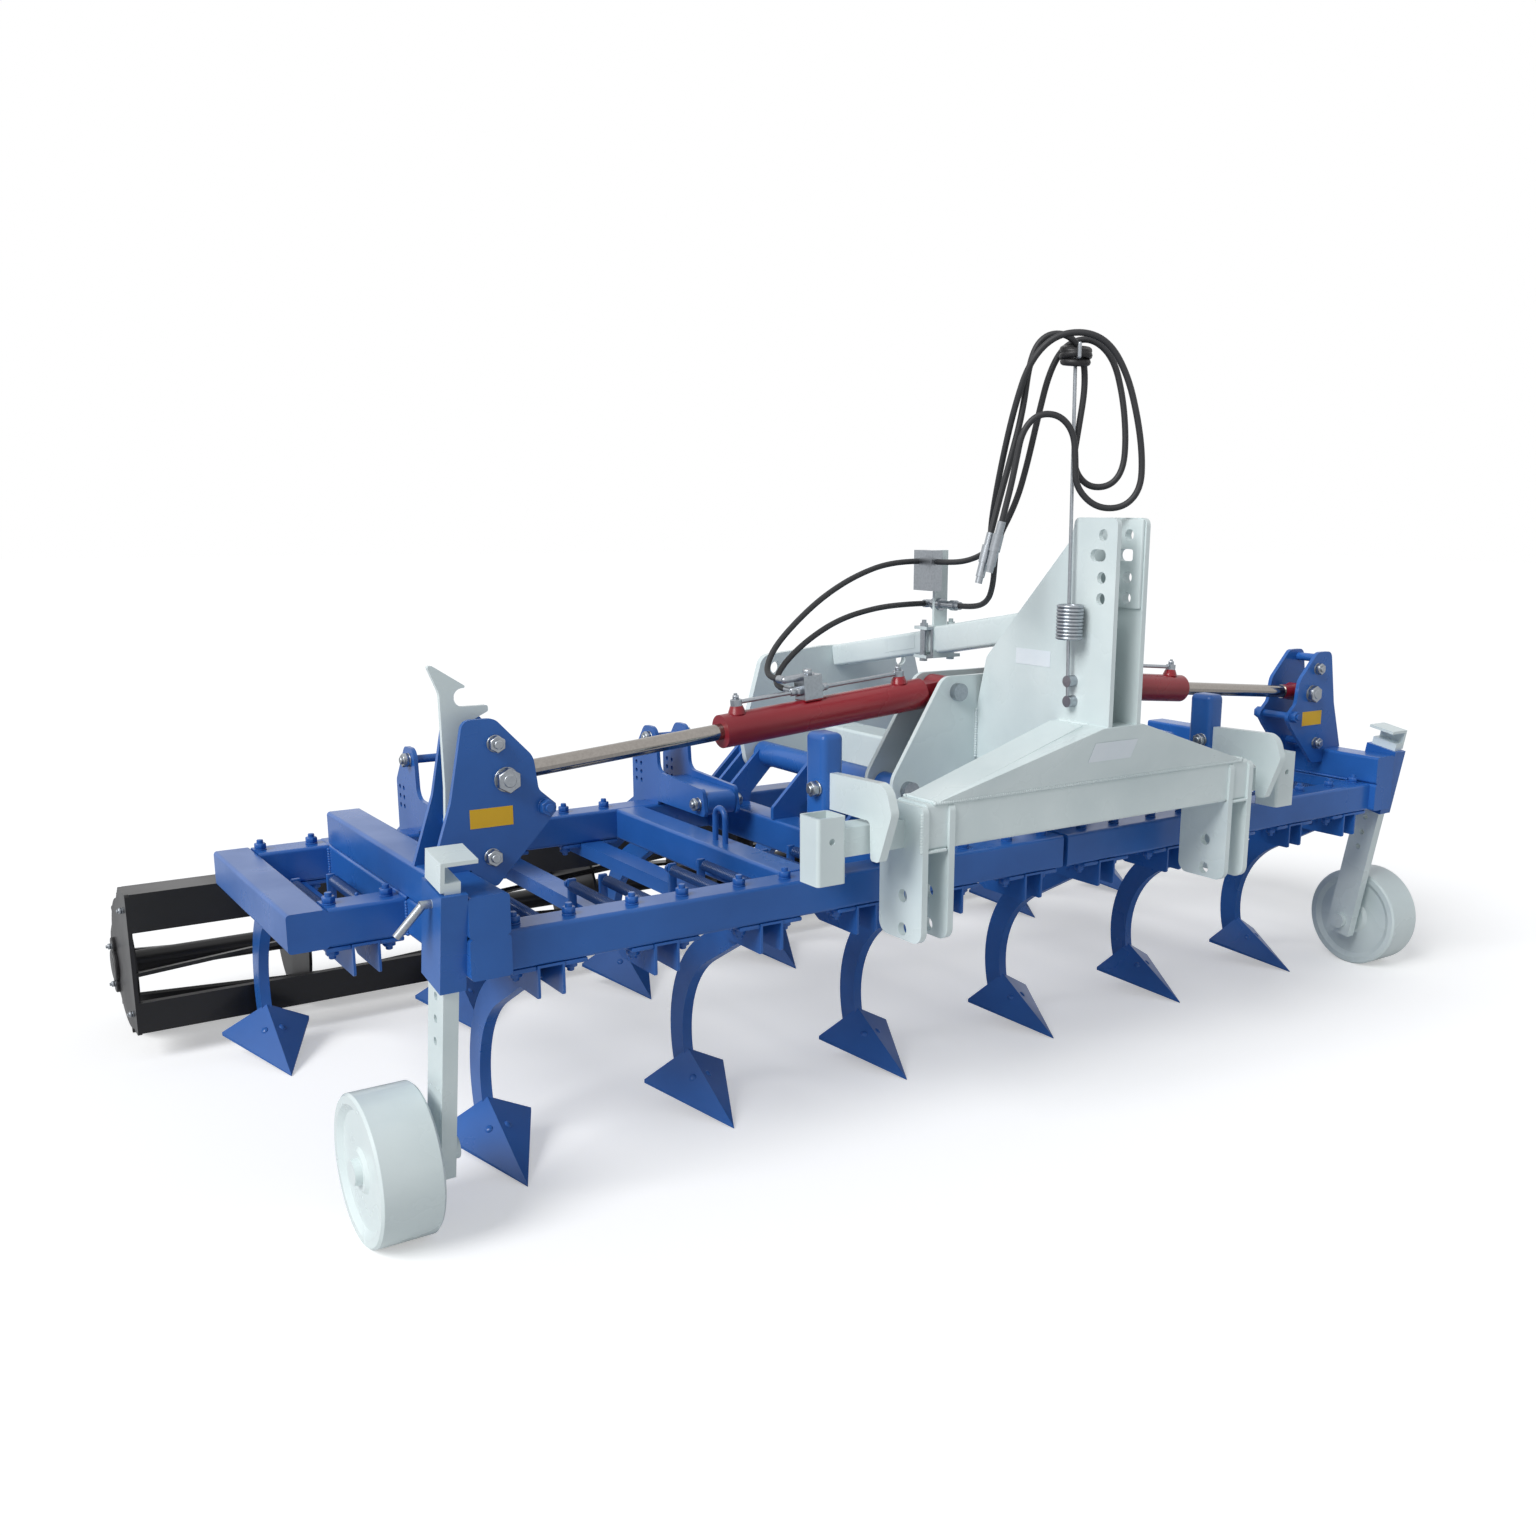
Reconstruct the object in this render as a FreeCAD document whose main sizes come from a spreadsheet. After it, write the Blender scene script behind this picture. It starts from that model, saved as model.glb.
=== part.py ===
"""Folding spring-tine cultivator: a white three-point headstock, two blue wings hinged to it.

Frame of the model: X to the right seen from the front, Y to the rear, Z up, in millimetres.
The ground and the share points are at Z 0, the middle tine is at X 0 and the front beam's
middle is at Y 0. "Outboard" is the distance from the middle plane, on either side.
"""
import FreeCAD, Part
import math
import os
import re

Vector = FreeCAD.Vector
LEFT, RIGHT = -1, 1
SIDE_NAME = {LEFT: "left", RIGHT: "right"}
X_AXIS, Y_AXIS, Z_AXIS = Vector(1, 0, 0), Vector(0, 1, 0), Vector(0, 0, 1)
ALONG = {
    "x": FreeCAD.Rotation(Y_AXIS, 90),
    "y": FreeCAD.Rotation(X_AXIS, -90),
    "z": FreeCAD.Rotation(),
}

# Driving sizes: name, millimetres (or degrees), what it is.
SIZES = [
    ("tube_side", 80, "side of the wings' square frame tube"),
    ("tube_wall", 6, "wall of every frame tube"),
    ("tube_corner", 8, "outer corner radius of the frame tube"),
    ("frame_low", 532, "underside of the wing frame above the ground"),
    ("row_gap", 880, "front beam to rear beam, and front tines to rear tines"),
    ("tine_pitch", 250, "sideways distance from tine to tine"),
    ("left_overlap", 95, "the left wing's beams reach this far past the middle"),
    ("right_start", 110, "the right wing's beams start this far from the middle"),
    ("hinge_rail", 320, "inner face of the rail that carries the hinge"),
    ("mid_rail", 595, "inner face of the middle rail"),
    ("outer_rail", 1335, "inner face of the outer double rail"),
    ("rail_nose", 60, "the double rail reaches this far in front of the beam's middle"),
    ("upper_rail_end", 838, "rear end of the upper tube of the double rail"),
    ("extension_reach", 235, "the wing extension reaches this far past the double rail"),
    ("extension_front", 292, "front face of the wing extension"),
    ("hinge_out", 260, "fold axis, outboard"),
    ("hinge_high", 735, "fold axis above the ground"),
    ("hinge_pin", 30, "diameter of the fold pins"),
    ("knuckle", 64, "outside of the hinge knuckles"),
    ("pin_play", 0.08, "radial play of a moving part on its pin or shaft"),
    ("seat_play", 0.05, "radial play of a pin in its plates"),
    ("plate", 12, "thickness of the headstock and bracket plates"),
    ("ram_middle", 186, "plane of the fold cylinders, behind the front beam"),
    ("lug_gap", 88, "gap between the two front headstock plates"),
    ("rear_plate", 780, "front face of the rear headstock plate"),
    ("rear_thick", 20, "thickness of the rear headstock plate"),
    ("cross_side", 100, "side of the headstock's cross beam and spine"),
    ("cross_front", 250, "front face of the cross beam, in front of the front beam"),
    ("cross_low", 695, "underside of the cross beam and the spine"),
    ("link_out", 520, "outer face of the outer lower-link plates"),
    ("link_plate", 15, "thickness of the lower-link plates"),
    ("link_gap", 55.5, "gap between the two plates of a lower link"),
    ("link_front", 257, "front edge of the lower-link plates, in front of the front beam"),
    ("link_rear", 110, "rear edge of the lower-link plates, in front of the front beam"),
    ("link_pin", 28.7, "lower-link hole"),
    ("link_pin_ahead", 192, "lower-link holes in front of the front beam"),
    ("link_pin_high", 590, "upper lower-link hole above the ground"),
    ("link_pin_step", 73, "upper to lower lower-link hole"),
    ("link_foot", 494, "lower end of the lower-link plates"),
    ("mast_gap", 76, "gap between the mast plates"),
    ("mast_top", 1375, "top of the mast"),
    ("mast_front", 310, "front edge of the mast, in front of the front beam"),
    ("top_pin", 25.7, "top-link hole"),
    ("top_pin_ahead", 268, "top-link holes in front of the front beam"),
    ("top_pin_down", 37, "highest top-link hole below the top of the mast"),
    ("ram_base_out", 116, "base pin of a fold cylinder, outboard"),
    ("ram_base_high", 962, "base pin of a fold cylinder above the ground"),
    ("ram_eye_in", 78, "rod pin of a fold cylinder, this far inboard of the double rail"),
    ("ram_eye_high", 865, "rod pin of a fold cylinder above the ground"),
    ("ram_tube", 74, "outside of the cylinder barrel"),
    ("ram_bore", 60, "bore of the cylinder barrel"),
    ("ram_rod", 36, "chromed rod"),
    ("ram_length", 625, "base pin to the gland's face"),
    ("ram_pin", 28, "pins of the fold cylinders"),
    ("catch_in", 17, "catch tube and hook notch, this far inboard of the double rail's inner face"),
    ("catch_high", 965, "catch tube above the ground"),
    ("catch_tube", 24, "catch tube"),
    ("hook_play", 6, "play of the hook's notch round the catch tube"),
    ("channel_wide", 56, "outside width of a tine channel"),
    ("channel_wall", 5, "wall of a tine channel"),
    ("channel_deep", 67, "depth of a tine channel at its pivot"),
    ("channel_shallow", 34, "depth of a tine channel between the beams"),
    ("shank_thick", 25, "width of a tine shank across the row"),
    ("shank_deep", 60, "depth of a tine shank"),
    ("shank_bend", 268, "radius of the shank's bend at its middle line"),
    ("share_back", 24, "share point behind the middle of the shank's bend"),
    ("front_point", 125, "points of the front shares behind the front beam"),
    ("bend_high", 170, "middle of the shank's bend above the ground"),
    ("share_half", 108, "half the width of a share"),
    ("share_long", 231, "point of a share to the end of its wings"),
    ("share_wing_high", 57, "end of a share's wing above the ground, underside"),
    ("share_ridge_high", 118, "rear end of a share's ridge above the ground, underside"),
    ("share_thick", 9, "thickness of a share, upright"),
    ("spring_wide", 26, "outside of a tine spring"),
    ("spring_out", 41, "tine spring beside the middle of its channel"),
    ("spring_high", 575, "tine spring above the ground"),
    ("spring_front", 62, "front end of a tine spring behind the front beam"),
    ("spring_long", 258, "length of a tine spring"),
    ("wheel_radius", 150, "support wheel"),
    ("wheel_wide", 122, "support wheel"),
    ("wheel_gap", 68, "gap between the double rail and the support wheel"),
    ("wheel_behind", 85, "wheel axle behind the front beam"),
    ("axle", 30, "wheel axle"),
    ("post_thick", 30, "wheel post, across"),
    ("post_deep", 80, "wheel post, fore and aft"),
    ("post_lean", 10, "degrees by which the wheel post leans forward"),
    ("post_spare", 22, "the post stands this far out of its sleeve"),
    ("sleeve_wall", 9.7, "wall of the post's sleeve"),
    ("sleeve_low", 372, "lower end of the sleeve, measured up the post from the axle"),
    ("sleeve_long", 196, "length of the sleeve"),
    ("roller_radius", 190, "cage roller"),
    ("roller_behind", 1570, "roller axle behind the front beam"),
    ("roller_frame_in", 25, "inner face of the roller frame, outboard"),
    ("roller_frame_out", 1790, "outer face of the roller frame"),
    ("roller_beam", 100, "side of the roller frame's top beam"),
    ("roller_beam_front", 1310, "front face of the roller frame"),
    ("roller_beam_low", 339, "underside of the roller frame's top beam"),
    ("roller_plate", 10, "thickness of the roller frame's end plates"),
    ("roller_shaft", 40, "stub shafts of the roller"),
    ("arm_wide", 80, "roller arm, across"),
    ("arm_deep", 60, "roller arm, upright"),
    ("arm_low", 620, "underside of the roller arm over the rear beam"),
    ("arm_inner", 500, "middle of the inner roller arm, outboard"),
    ("arm_outer", 1150, "middle of the outer roller arm, outboard"),
    ("arm_side_play", 2, "roller arm to its bracket plate"),
    ("lock_out", 580, "inner face of the lock post, outboard"),
    ("lock_wide", 55, "lock post, across"),
    ("lock_deep", 70, "lock post, fore and aft"),
    ("lock_front", 60, "front face of the lock post, in front of the front beam's middle"),
    ("lock_top", 930, "top of the lock post above the ground"),
    ("claw_thick", 20, "thickness of the claw"),
    ("claw_play", 10, "play between the claw and the bar under it"),
    ("socket_side", 70, "side of the parking-stand socket"),
    ("socket_in", 680, "inner face of the parking-stand socket, outboard"),
    ("socket_front", 210, "front face of the socket, in front of the front beam"),
    ("socket_low", 645, "lower end of the socket"),
    ("socket_high", 785, "upper end of the socket"),
    ("bar_side", 60, "side of the bar between lower-link plate and socket"),
    ("bar_front", 195, "front face of that bar, in front of the front beam"),
    ("bar_high", 755, "top of the bar between lower-link plate and socket"),
    ("loop_rod", 14, "rod of the lifting loops"),
    ("loop_half", 23, "half the distance between the legs of a lifting loop"),
    ("loop_behind", 370, "lifting loop behind the front beam"),
    ("loop_top", 700, "top of the lifting loop"),
    ("hose", 14, "outside of the hydraulic hoses"),
    ("coupling", 24, "hose couplings"),
    ("hose_rod", 8, "rod that carries the supply hoses, and its coil and crossbar"),
    ("coil_turns", 10, "turns of the rod's coil"),
    ("coil_radius", 26, "middle line of the coil"),
    ("clamp_behind", 350, "hose clamp on the mast strut behind the front beam"),
    ("clamp_deep", 50, "hose clamp, fore and aft"),
    ("clip_low", 1190, "underside of the hose clip box"),
    ("clip_tall", 100, "hose clip box, upright"),
]

doc = FreeCAD.newDocument("FoldingCultivator")
sheet = doc.addObject("Spreadsheet::Sheet", "Sizes")
for row, (name, value, meaning) in enumerate(SIZES, start=1):
    sheet.set(f"A{row}", name)
    sheet.set(f"B{row}", str(value))
    sheet.setAlias(f"B{row}", name)
    sheet.set(f"C{row}", meaning)
doc.recompute()
NAMES = {name for name, value, meaning in SIZES}
S = {name: float(getattr(sheet, name)) for name in NAMES}
NODES = []


def bound(text):
    """An expression in which each size name is read from the sheet."""
    return re.sub(r"[a-z_]+", lambda word: f"Sizes.{word[0]}" if word[0] in NAMES else word[0], text)


def outboard(side, low, high):
    """The span between two outboard distances as a span along X."""
    return (low, high) if side > 0 else (f"-({high})", f"-({low})")


def box(x, y, z, corner=None, along=None):
    """A box between two expressions on each axis, with its long corners rounded on request."""
    piece = doc.addObject("Part::Box", "Block")
    for size, (low, high) in zip(("Length", "Width", "Height"), (x, y, z)):
        piece.setExpression(size, bound(f"({high}) - ({low})"))
    for axis, (low, high) in zip("xyz", (x, y, z)):
        piece.setExpression(f"Placement.Base.{axis}", bound(low))
    if corner is None:
        return piece
    doc.recompute()
    direction = {"x": X_AXIS, "y": Y_AXIS, "z": Z_AXIS}[along]
    edges = [
        (number, S[corner], S[corner])
        for number, edge in enumerate(piece.Shape.Edges, start=1)
        if abs(edge.tangentAt(edge.FirstParameter).dot(direction)) > 0.9
    ]
    rounded = doc.addObject("Part::Fillet", "Rounded")
    rounded.Base = piece
    rounded.Edges = edges
    return rounded


def cylinder(axis, span, centre, radius):
    """A cylinder along an axis between two expressions; centre gives the other two places."""
    piece = doc.addObject("Part::Cylinder", "Round")
    piece.setExpression("Radius", bound(radius))
    piece.setExpression("Height", bound(f"({span[1]}) - ({span[0]})"))
    piece.Placement = FreeCAD.Placement(Vector(), ALONG[axis])
    places = dict(zip([name for name in "xyz" if name != axis], centre))
    places[axis] = span[0]
    for name, place in places.items():
        piece.setExpression(f"Placement.Base.{name}", bound(place))
    return piece


def cut(base, *tools):
    piece = doc.addObject("Part::Cut", "Cut")
    piece.Base = base
    piece.Tool = tools[0] if len(tools) == 1 else fuse(*tools)
    return piece


def fuse(*pieces):
    piece = doc.addObject("Part::MultiFuse", "Joined")
    piece.Shapes = list(pieces)
    return piece


def feature(shape):
    """A free-form piece whose shape is worked out from the sheet's values."""
    piece = doc.addObject("Part::Feature", "Formed")
    piece.Shape = shape
    return piece


def node(label, *pieces):
    """The finished sub-part: one piece, or several that don't touch, under one name."""
    if len(pieces) == 1:
        whole = pieces[0]
    else:
        whole = doc.addObject("Part::Compound", "Set")
        whole.Links = list(pieces)
    whole.Label = label
    NODES.append(whole)
    return whole


def tube(x, y, z, along, closed=""):
    """A square tube; closed names the ends that have a cap: low, high or both."""
    spans = {"x": x, "y": y, "z": z}
    inner = {}
    for axis, (low, high) in spans.items():
        if axis != along:
            inner[axis] = (f"({low}) + tube_wall", f"({high}) - tube_wall")
            continue
        start = "+ tube_wall" if "low" in closed else "- tube_wall"
        stop = "- tube_wall" if "high" in closed else "+ tube_wall"
        inner[axis] = (f"({low}) {start}", f"({high}) {stop}")
    return cut(box(x, y, z, "tube_corner", along), box(inner["x"], inner["y"], inner["z"]))


def outline(points):
    """A closed wire through (u, v, corner radius) points in the plane of X and Y."""
    edges = []
    ends = []
    count = len(points)
    for index, (u, v, radius) in enumerate(points):
        here = Vector(u, v, 0)
        before = Vector(*points[index - 1][:2], 0)
        after = Vector(*points[(index + 1) % count][:2], 0)
        back = (before - here).normalize()
        on = (after - here).normalize()
        if radius <= 0:
            ends.append((here, here))
            continue
        half = back.getAngle(on) / 2
        reach = radius / math.tan(half)
        centre = here + (back + on).normalize() * (radius / math.sin(half))
        middle = centre + (here - centre).normalize() * radius
        start, stop = here + back * reach, here + on * reach
        ends.append((start, stop))
        edges.append(Part.Arc(start, middle, stop).toShape())
    for index in range(count):
        start, stop = ends[index][1], ends[(index + 1) % count][0]
        if start.distanceToPoint(stop) > 1e-6:
            edges.append(Part.LineSegment(start, stop).toShape())
    return Part.Wire(Part.__sortEdges__(edges))


def plate_across(side, points, low, high, holes=()):
    """A plate in the plane of outboard and Z, between two places along Y; holes are (out, z, radius)."""
    face = Part.Face(outline([(side * u, v, r) for u, v, r in points]))
    face = face.cut(Part.makeCompound([disc(side * u, v, r) for u, v, r in holes])) if holes else face
    face.rotate(Vector(), X_AXIS, 90)
    face.translate(Vector(0, low, 0))
    return face.extrude(Vector(0, high - low, 0))


def plate_along(points, low, high, holes=()):
    """A plate in the plane of Y and Z, between two places along X; holes are (y, z, radius)."""
    face = Part.Face(outline(points))
    face = face.cut(Part.makeCompound([disc(u, v, r) for u, v, r in holes])) if holes else face
    face.rotate(Vector(), X_AXIS, 90)
    face.rotate(Vector(), Z_AXIS, 90)
    face.translate(Vector(low, 0, 0))
    return face.extrude(Vector(high - low, 0, 0))


def disc(u, v, radius):
    return Part.Face(Part.Wire(Part.makeCircle(radius, Vector(u, v, 0))))


def bar_between(start, stop, radius):
    """A round bar from one point to another."""
    return Part.makeCylinder(radius, (stop - start).Length, start, stop - start)


# Places that several pieces share.
FRAME = ("frame_low", "frame_low + tube_side")
FRONT_BEAM = ("-tube_side / 2", "tube_side / 2")
REAR_BEAM = ("row_gap - tube_side / 2", "row_gap + tube_side / 2")
CROSS = ("cross_low", "cross_low + cross_side")
frame_top = S["frame_low"] + S["tube_side"]
cross_top = S["cross_low"] + S["cross_side"]
lug_front = S["ram_middle"] - S["lug_gap"] / 2 - S["plate"]
lug_rear = S["ram_middle"] + S["lug_gap"] / 2
rear_back = S["rear_plate"] + S["rear_thick"]
rail_in = S["outer_rail"]
rail_out = rail_in + S["tube_side"]
EXTENSION_OUT = "outer_rail + tube_side + extension_reach"
eye_out = rail_in - S["ram_eye_in"]
catch_out = rail_in - S["catch_in"]
top_pin_high = S["mast_top"] - S["top_pin_down"]
STRUT_START, STRUT_STOP, strut_radius = Vector(0, -70, 1135), Vector(0, S["rear_plate"], 985), 30
HOOK_PIN, hook_pin_radius = (rail_in + 10, 775), 9.5
bolt_head = 18
knuckle_behind = 92

# Routes of the hoses. The supply hoses run from the clamp over the rod's crossbar, in two loops,
# and hang down with their couplings. The ram hoses run from the clamp to the left barrel.
HOSES = {
    "hose_outer": [
        (-30, 318, 1262), (-30, 260, 1262), (-35, 190, 1270), (-50, 115, 1290), (-95, 45, 1310),
        (-145, -10, 1350), (-170, -50, 1415), (-175, -80, 1510), (-175, -110, 1605), (-165, -140, 1695),
        (-130, -175, 1750), (-75, -215, 1760), (-30, -245, 1735), (5, -265, 1670), (25, -280, 1585),
        (40, -285, 1505), (40, -285, 1435), (10, -265, 1395), (-40, -230, 1395), (-78, -205, 1440),
        (-81, -206, 1497), (-87, -203, 1555), (-115, -185, 1590), (-155, -160, 1590), (-180, -142, 1553),
        (-186, -134, 1495), (-193, -127, 1440), (-199, -120, 1400), (-205, -115, 1365),
    ],
    "hose_inner": [
        (0, 262, 1155), (0, 202, 1155), (-15, 140, 1175), (-50, 85, 1215), (-95, 30, 1260),
        (-135, -20, 1320), (-125, -70, 1405), (-115, -90, 1485), (-105, -110, 1590), (-90, -125, 1685),
        (-65, -145, 1740), (-20, -175, 1755), (20, -205, 1715), (35, -225, 1630), (40, -235, 1540),
        (35, -235, 1475), (10, -220, 1440), (-30, -190, 1440), (-60, -175, 1485), (-50, -180, 1565),
        (-45, -190, 1650), (-55, -190, 1715), (-80, -172, 1757), (-122, -142, 1757), (-147, -124, 1712),
        (-155, -115, 1595), (-175, -100, 1490), (-190, -85, 1405), (-205, -80, 1340),
    ],
    "hose_ram_upper": [
        (-49, 375, 1262), (-130, 375, 1262), (-250, 360, 1232), (-365, 335, 1185), (-460, 312, 1128),
        (-528, 300, 1072), (-562, 280, 1028), (-572, 245, 1012), (-572, 210, 1012),
    ],
    "hose_ram_lower": [
        (-18, 385, 1155), (-85, 385, 1155), (-195, 360, 1150), (-315, 335, 1130), (-415, 312, 1092),
        (-490, 300, 1045), (-535, 282, 1005), (-552, 245, 988), (-552, 210, 988),
    ],
}


def make_headstock():
    """Cross beam, lower-link plates, gussets, mast, spine and the plates that carry the hinges."""
    cross = tube(
        ("-(link_out - link_plate)", "link_out - link_plate"),
        ("-cross_front", "cross_side - cross_front"),
        CROSS, "x",
    )
    spine = tube(
        ("-cross_side / 2", "cross_side / 2"), ("cross_side - cross_front", "rear_plate"), CROSS, "y")
    node("cross_beam", fuse(cross, spine))

    holes = [
        (-S["link_pin_ahead"], S["link_pin_high"] - step * S["link_pin_step"], S["link_pin"] / 2)
        for step in (0, 1)
    ]
    link_outline = [
        (-S["link_front"], S["link_foot"], 28), (-S["link_rear"], S["link_foot"], 28),
        (-S["link_rear"], cross_top - 5, 14), (-S["link_front"], cross_top - 5, 14),
    ]
    beam_hole = Part.makeBox(
        4 * S["link_out"], S["cross_side"], S["cross_side"],
        Vector(-2 * S["link_out"], -S["cross_front"], S["cross_low"]))
    plates = []
    for side in (LEFT, RIGHT):
        outer_in = S["link_out"] - S["link_plate"]
        inner_out = outer_in - S["link_gap"]
        inner_in = inner_out - S["link_plate"]
        plates.append(plate_along(link_outline, side * outer_in, side * S["link_out"], holes))
        inner = plate_along(link_outline, side * inner_in, side * inner_out, holes)
        plates.append(inner.cut(beam_hole))
    node("lower_link_plates", *[feature(shape) for shape in plates])

    mast_in, mast_out = S["mast_gap"] / 2, S["mast_gap"] / 2 + S["plate"]
    gussets = []
    for side in (LEFT, RIGHT):
        low, high = -S["cross_front"], S["cross_side"] - S["cross_front"]
        reach = S["link_out"] - 35
        outer = [(mast_out, cross_top, 0), (reach, cross_top, 0), (71, 924, 20), (mast_out, 924, 0)]
        inner = [
            (mast_out + 8, cross_top - 1, 0), (reach - 38, cross_top - 1, 0),
            (70, 915, 12), (mast_out + 8, 915, 0),
        ]
        solid = plate_across(side, outer, low, high).cut(plate_across(side, inner, low + 8, high - 8))
        gussets.append(feature(solid))
    node("mast_gussets", *gussets)

    top_holes = [(-S["top_pin_ahead"], top_pin_high - down, S["top_pin"] / 2) for down in (0, 91, 136)]
    mast_top = S["mast_top"]
    mast = [
        (-S["cross_front"], cross_top, 0), (-S["mast_front"], cross_top + 128, 40),
        (-S["mast_front"], mast_top, 16), (-182, mast_top, 16), (-172, mast_top - 47, 30),
        (100, 1046, 30), (lug_front, 925, 0), (lug_front, cross_top, 0),
    ]
    slot = plate_along(
        [(y, mast_top - down, 12.7) for y, down in ((-278, 93), (-232, 93), (-232, 67.3), (-278, 67.3))],
        -mast_out - 1, mast_out + 1)
    cheeks = [
        feature(plate_along(mast, side * mast_in, side * mast_out, top_holes).cut(slot))
        for side in (LEFT, RIGHT)
    ]
    span = ("-mast_gap / 2", "mast_gap / 2")
    spacers = [
        cylinder("x", span, (y, z), "20")
        for y, z in (("-130", "mast_top - 135"), ("60", "cross_low + 305"), ("-225", "cross_low + 205"))
    ]
    node("mast_plates", fuse(*cheeks, *spacers))

    front = [
        (-305, 690, 42), (-305, 765, 60), (-155, 1000, 38),
        (155, 1000, 38), (305, 765, 60), (305, 690, 42),
    ]
    rear = [
        (-305, 690, 42), (-322, 780, 50), (-258, 1000, 35), (-60, 1017, 40),
        (60, 1017, 40), (258, 1000, 35), (322, 780, 50), (305, 690, 42),
    ]
    hinge_hole = S["hinge_pin"] / 2 + S["seat_play"]
    base_hole = S["ram_pin"] / 2 + S["seat_play"]
    hinge_holes = [(side * S["hinge_out"], S["hinge_high"], hinge_hole) for side in (LEFT, RIGHT)]
    base_holes = [(side * S["ram_base_out"], S["ram_base_high"], base_hole) for side in (LEFT, RIGHT)]
    spine_hole = Part.makeBox(
        S["cross_side"], 2 * S["row_gap"], S["cross_side"],
        Vector(-S["cross_side"] / 2, -S["row_gap"], S["cross_low"]))
    shapes = [
        plate_across(RIGHT, front, low, low + S["plate"], hinge_holes + base_holes).cut(spine_hole)
        for low in (lug_front, lug_rear)
    ]
    node("front_hinge_plates", *[feature(shape) for shape in shapes])
    lifting_holes = [(side * 215, 965, 17) for side in (LEFT, RIGHT)]
    shape = plate_across(RIGHT, rear, S["rear_plate"], rear_back, hinge_holes + lifting_holes)
    node("rear_hinge_plate", feature(shape))

    strut = bar_between(STRUT_START, STRUT_STOP + (STRUT_STOP - STRUT_START) * 0.1, strut_radius)
    limits = Part.makeBox(200, S["rear_plate"] + 400, 600, Vector(-100, -400, 800))
    node("mast_strut", feature(strut.common(limits)))

    pins = []
    low = lug_front - bolt_head
    base_stop, hinge_stop = lug_rear + S["plate"] + bolt_head, rear_back + knuckle_behind
    for side in (LEFT, RIGHT):
        hinge_x, base_x = side * S["hinge_out"], side * S["ram_base_out"]
        pins.append(feature(headed_pin(hinge_x, S["hinge_high"], low, hinge_stop, S["hinge_pin"])))
        pins.append(feature(headed_pin(base_x, S["ram_base_high"], low, base_stop, S["ram_pin"])))
    node("headstock_pins", *pins)


def headed_pin(x, z, low, high, diameter):
    """A pin along Y with a round head at each end, clear of the plates by the play."""
    shaft = Part.makeCylinder(diameter / 2, high - low, Vector(x, low, z), Y_AXIS)
    thick = bolt_head - S["seat_play"]
    head = Part.makeCylinder(diameter * 0.75, thick, Vector(x, low, z), Y_AXIS)
    nut = Part.makeCylinder(diameter * 0.75, thick, Vector(x, high - thick, z), Y_AXIS)
    return shaft.fuse([head, nut]).removeSplitter()


def make_stand_sockets():
    """Square sockets for the parking stands, each on a bar from the outer lower-link plate."""
    sockets = []
    for side in (LEFT, RIGHT):
        x = outboard(side, "socket_in", "socket_in + socket_side")
        y = ("-socket_front", "socket_side - socket_front")
        socket = tube(x, y, ("socket_low", "socket_high"), "z")
        bar = box(
            outboard(side, "link_out", "socket_in + tube_wall / 2"),
            ("-bar_front", "bar_side - bar_front"),
            ("bar_high - bar_side", "bar_high"))
        hole = cylinder(
            "y", ("-socket_front - 5", "socket_side - socket_front + 5"),
            (f"{side} * (socket_in + socket_side / 2)", "bar_high - bar_side / 2 + 10"), "7")
        sockets.append(cut(fuse(socket, bar), hole))
    node("stand_sockets", *sockets)


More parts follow.
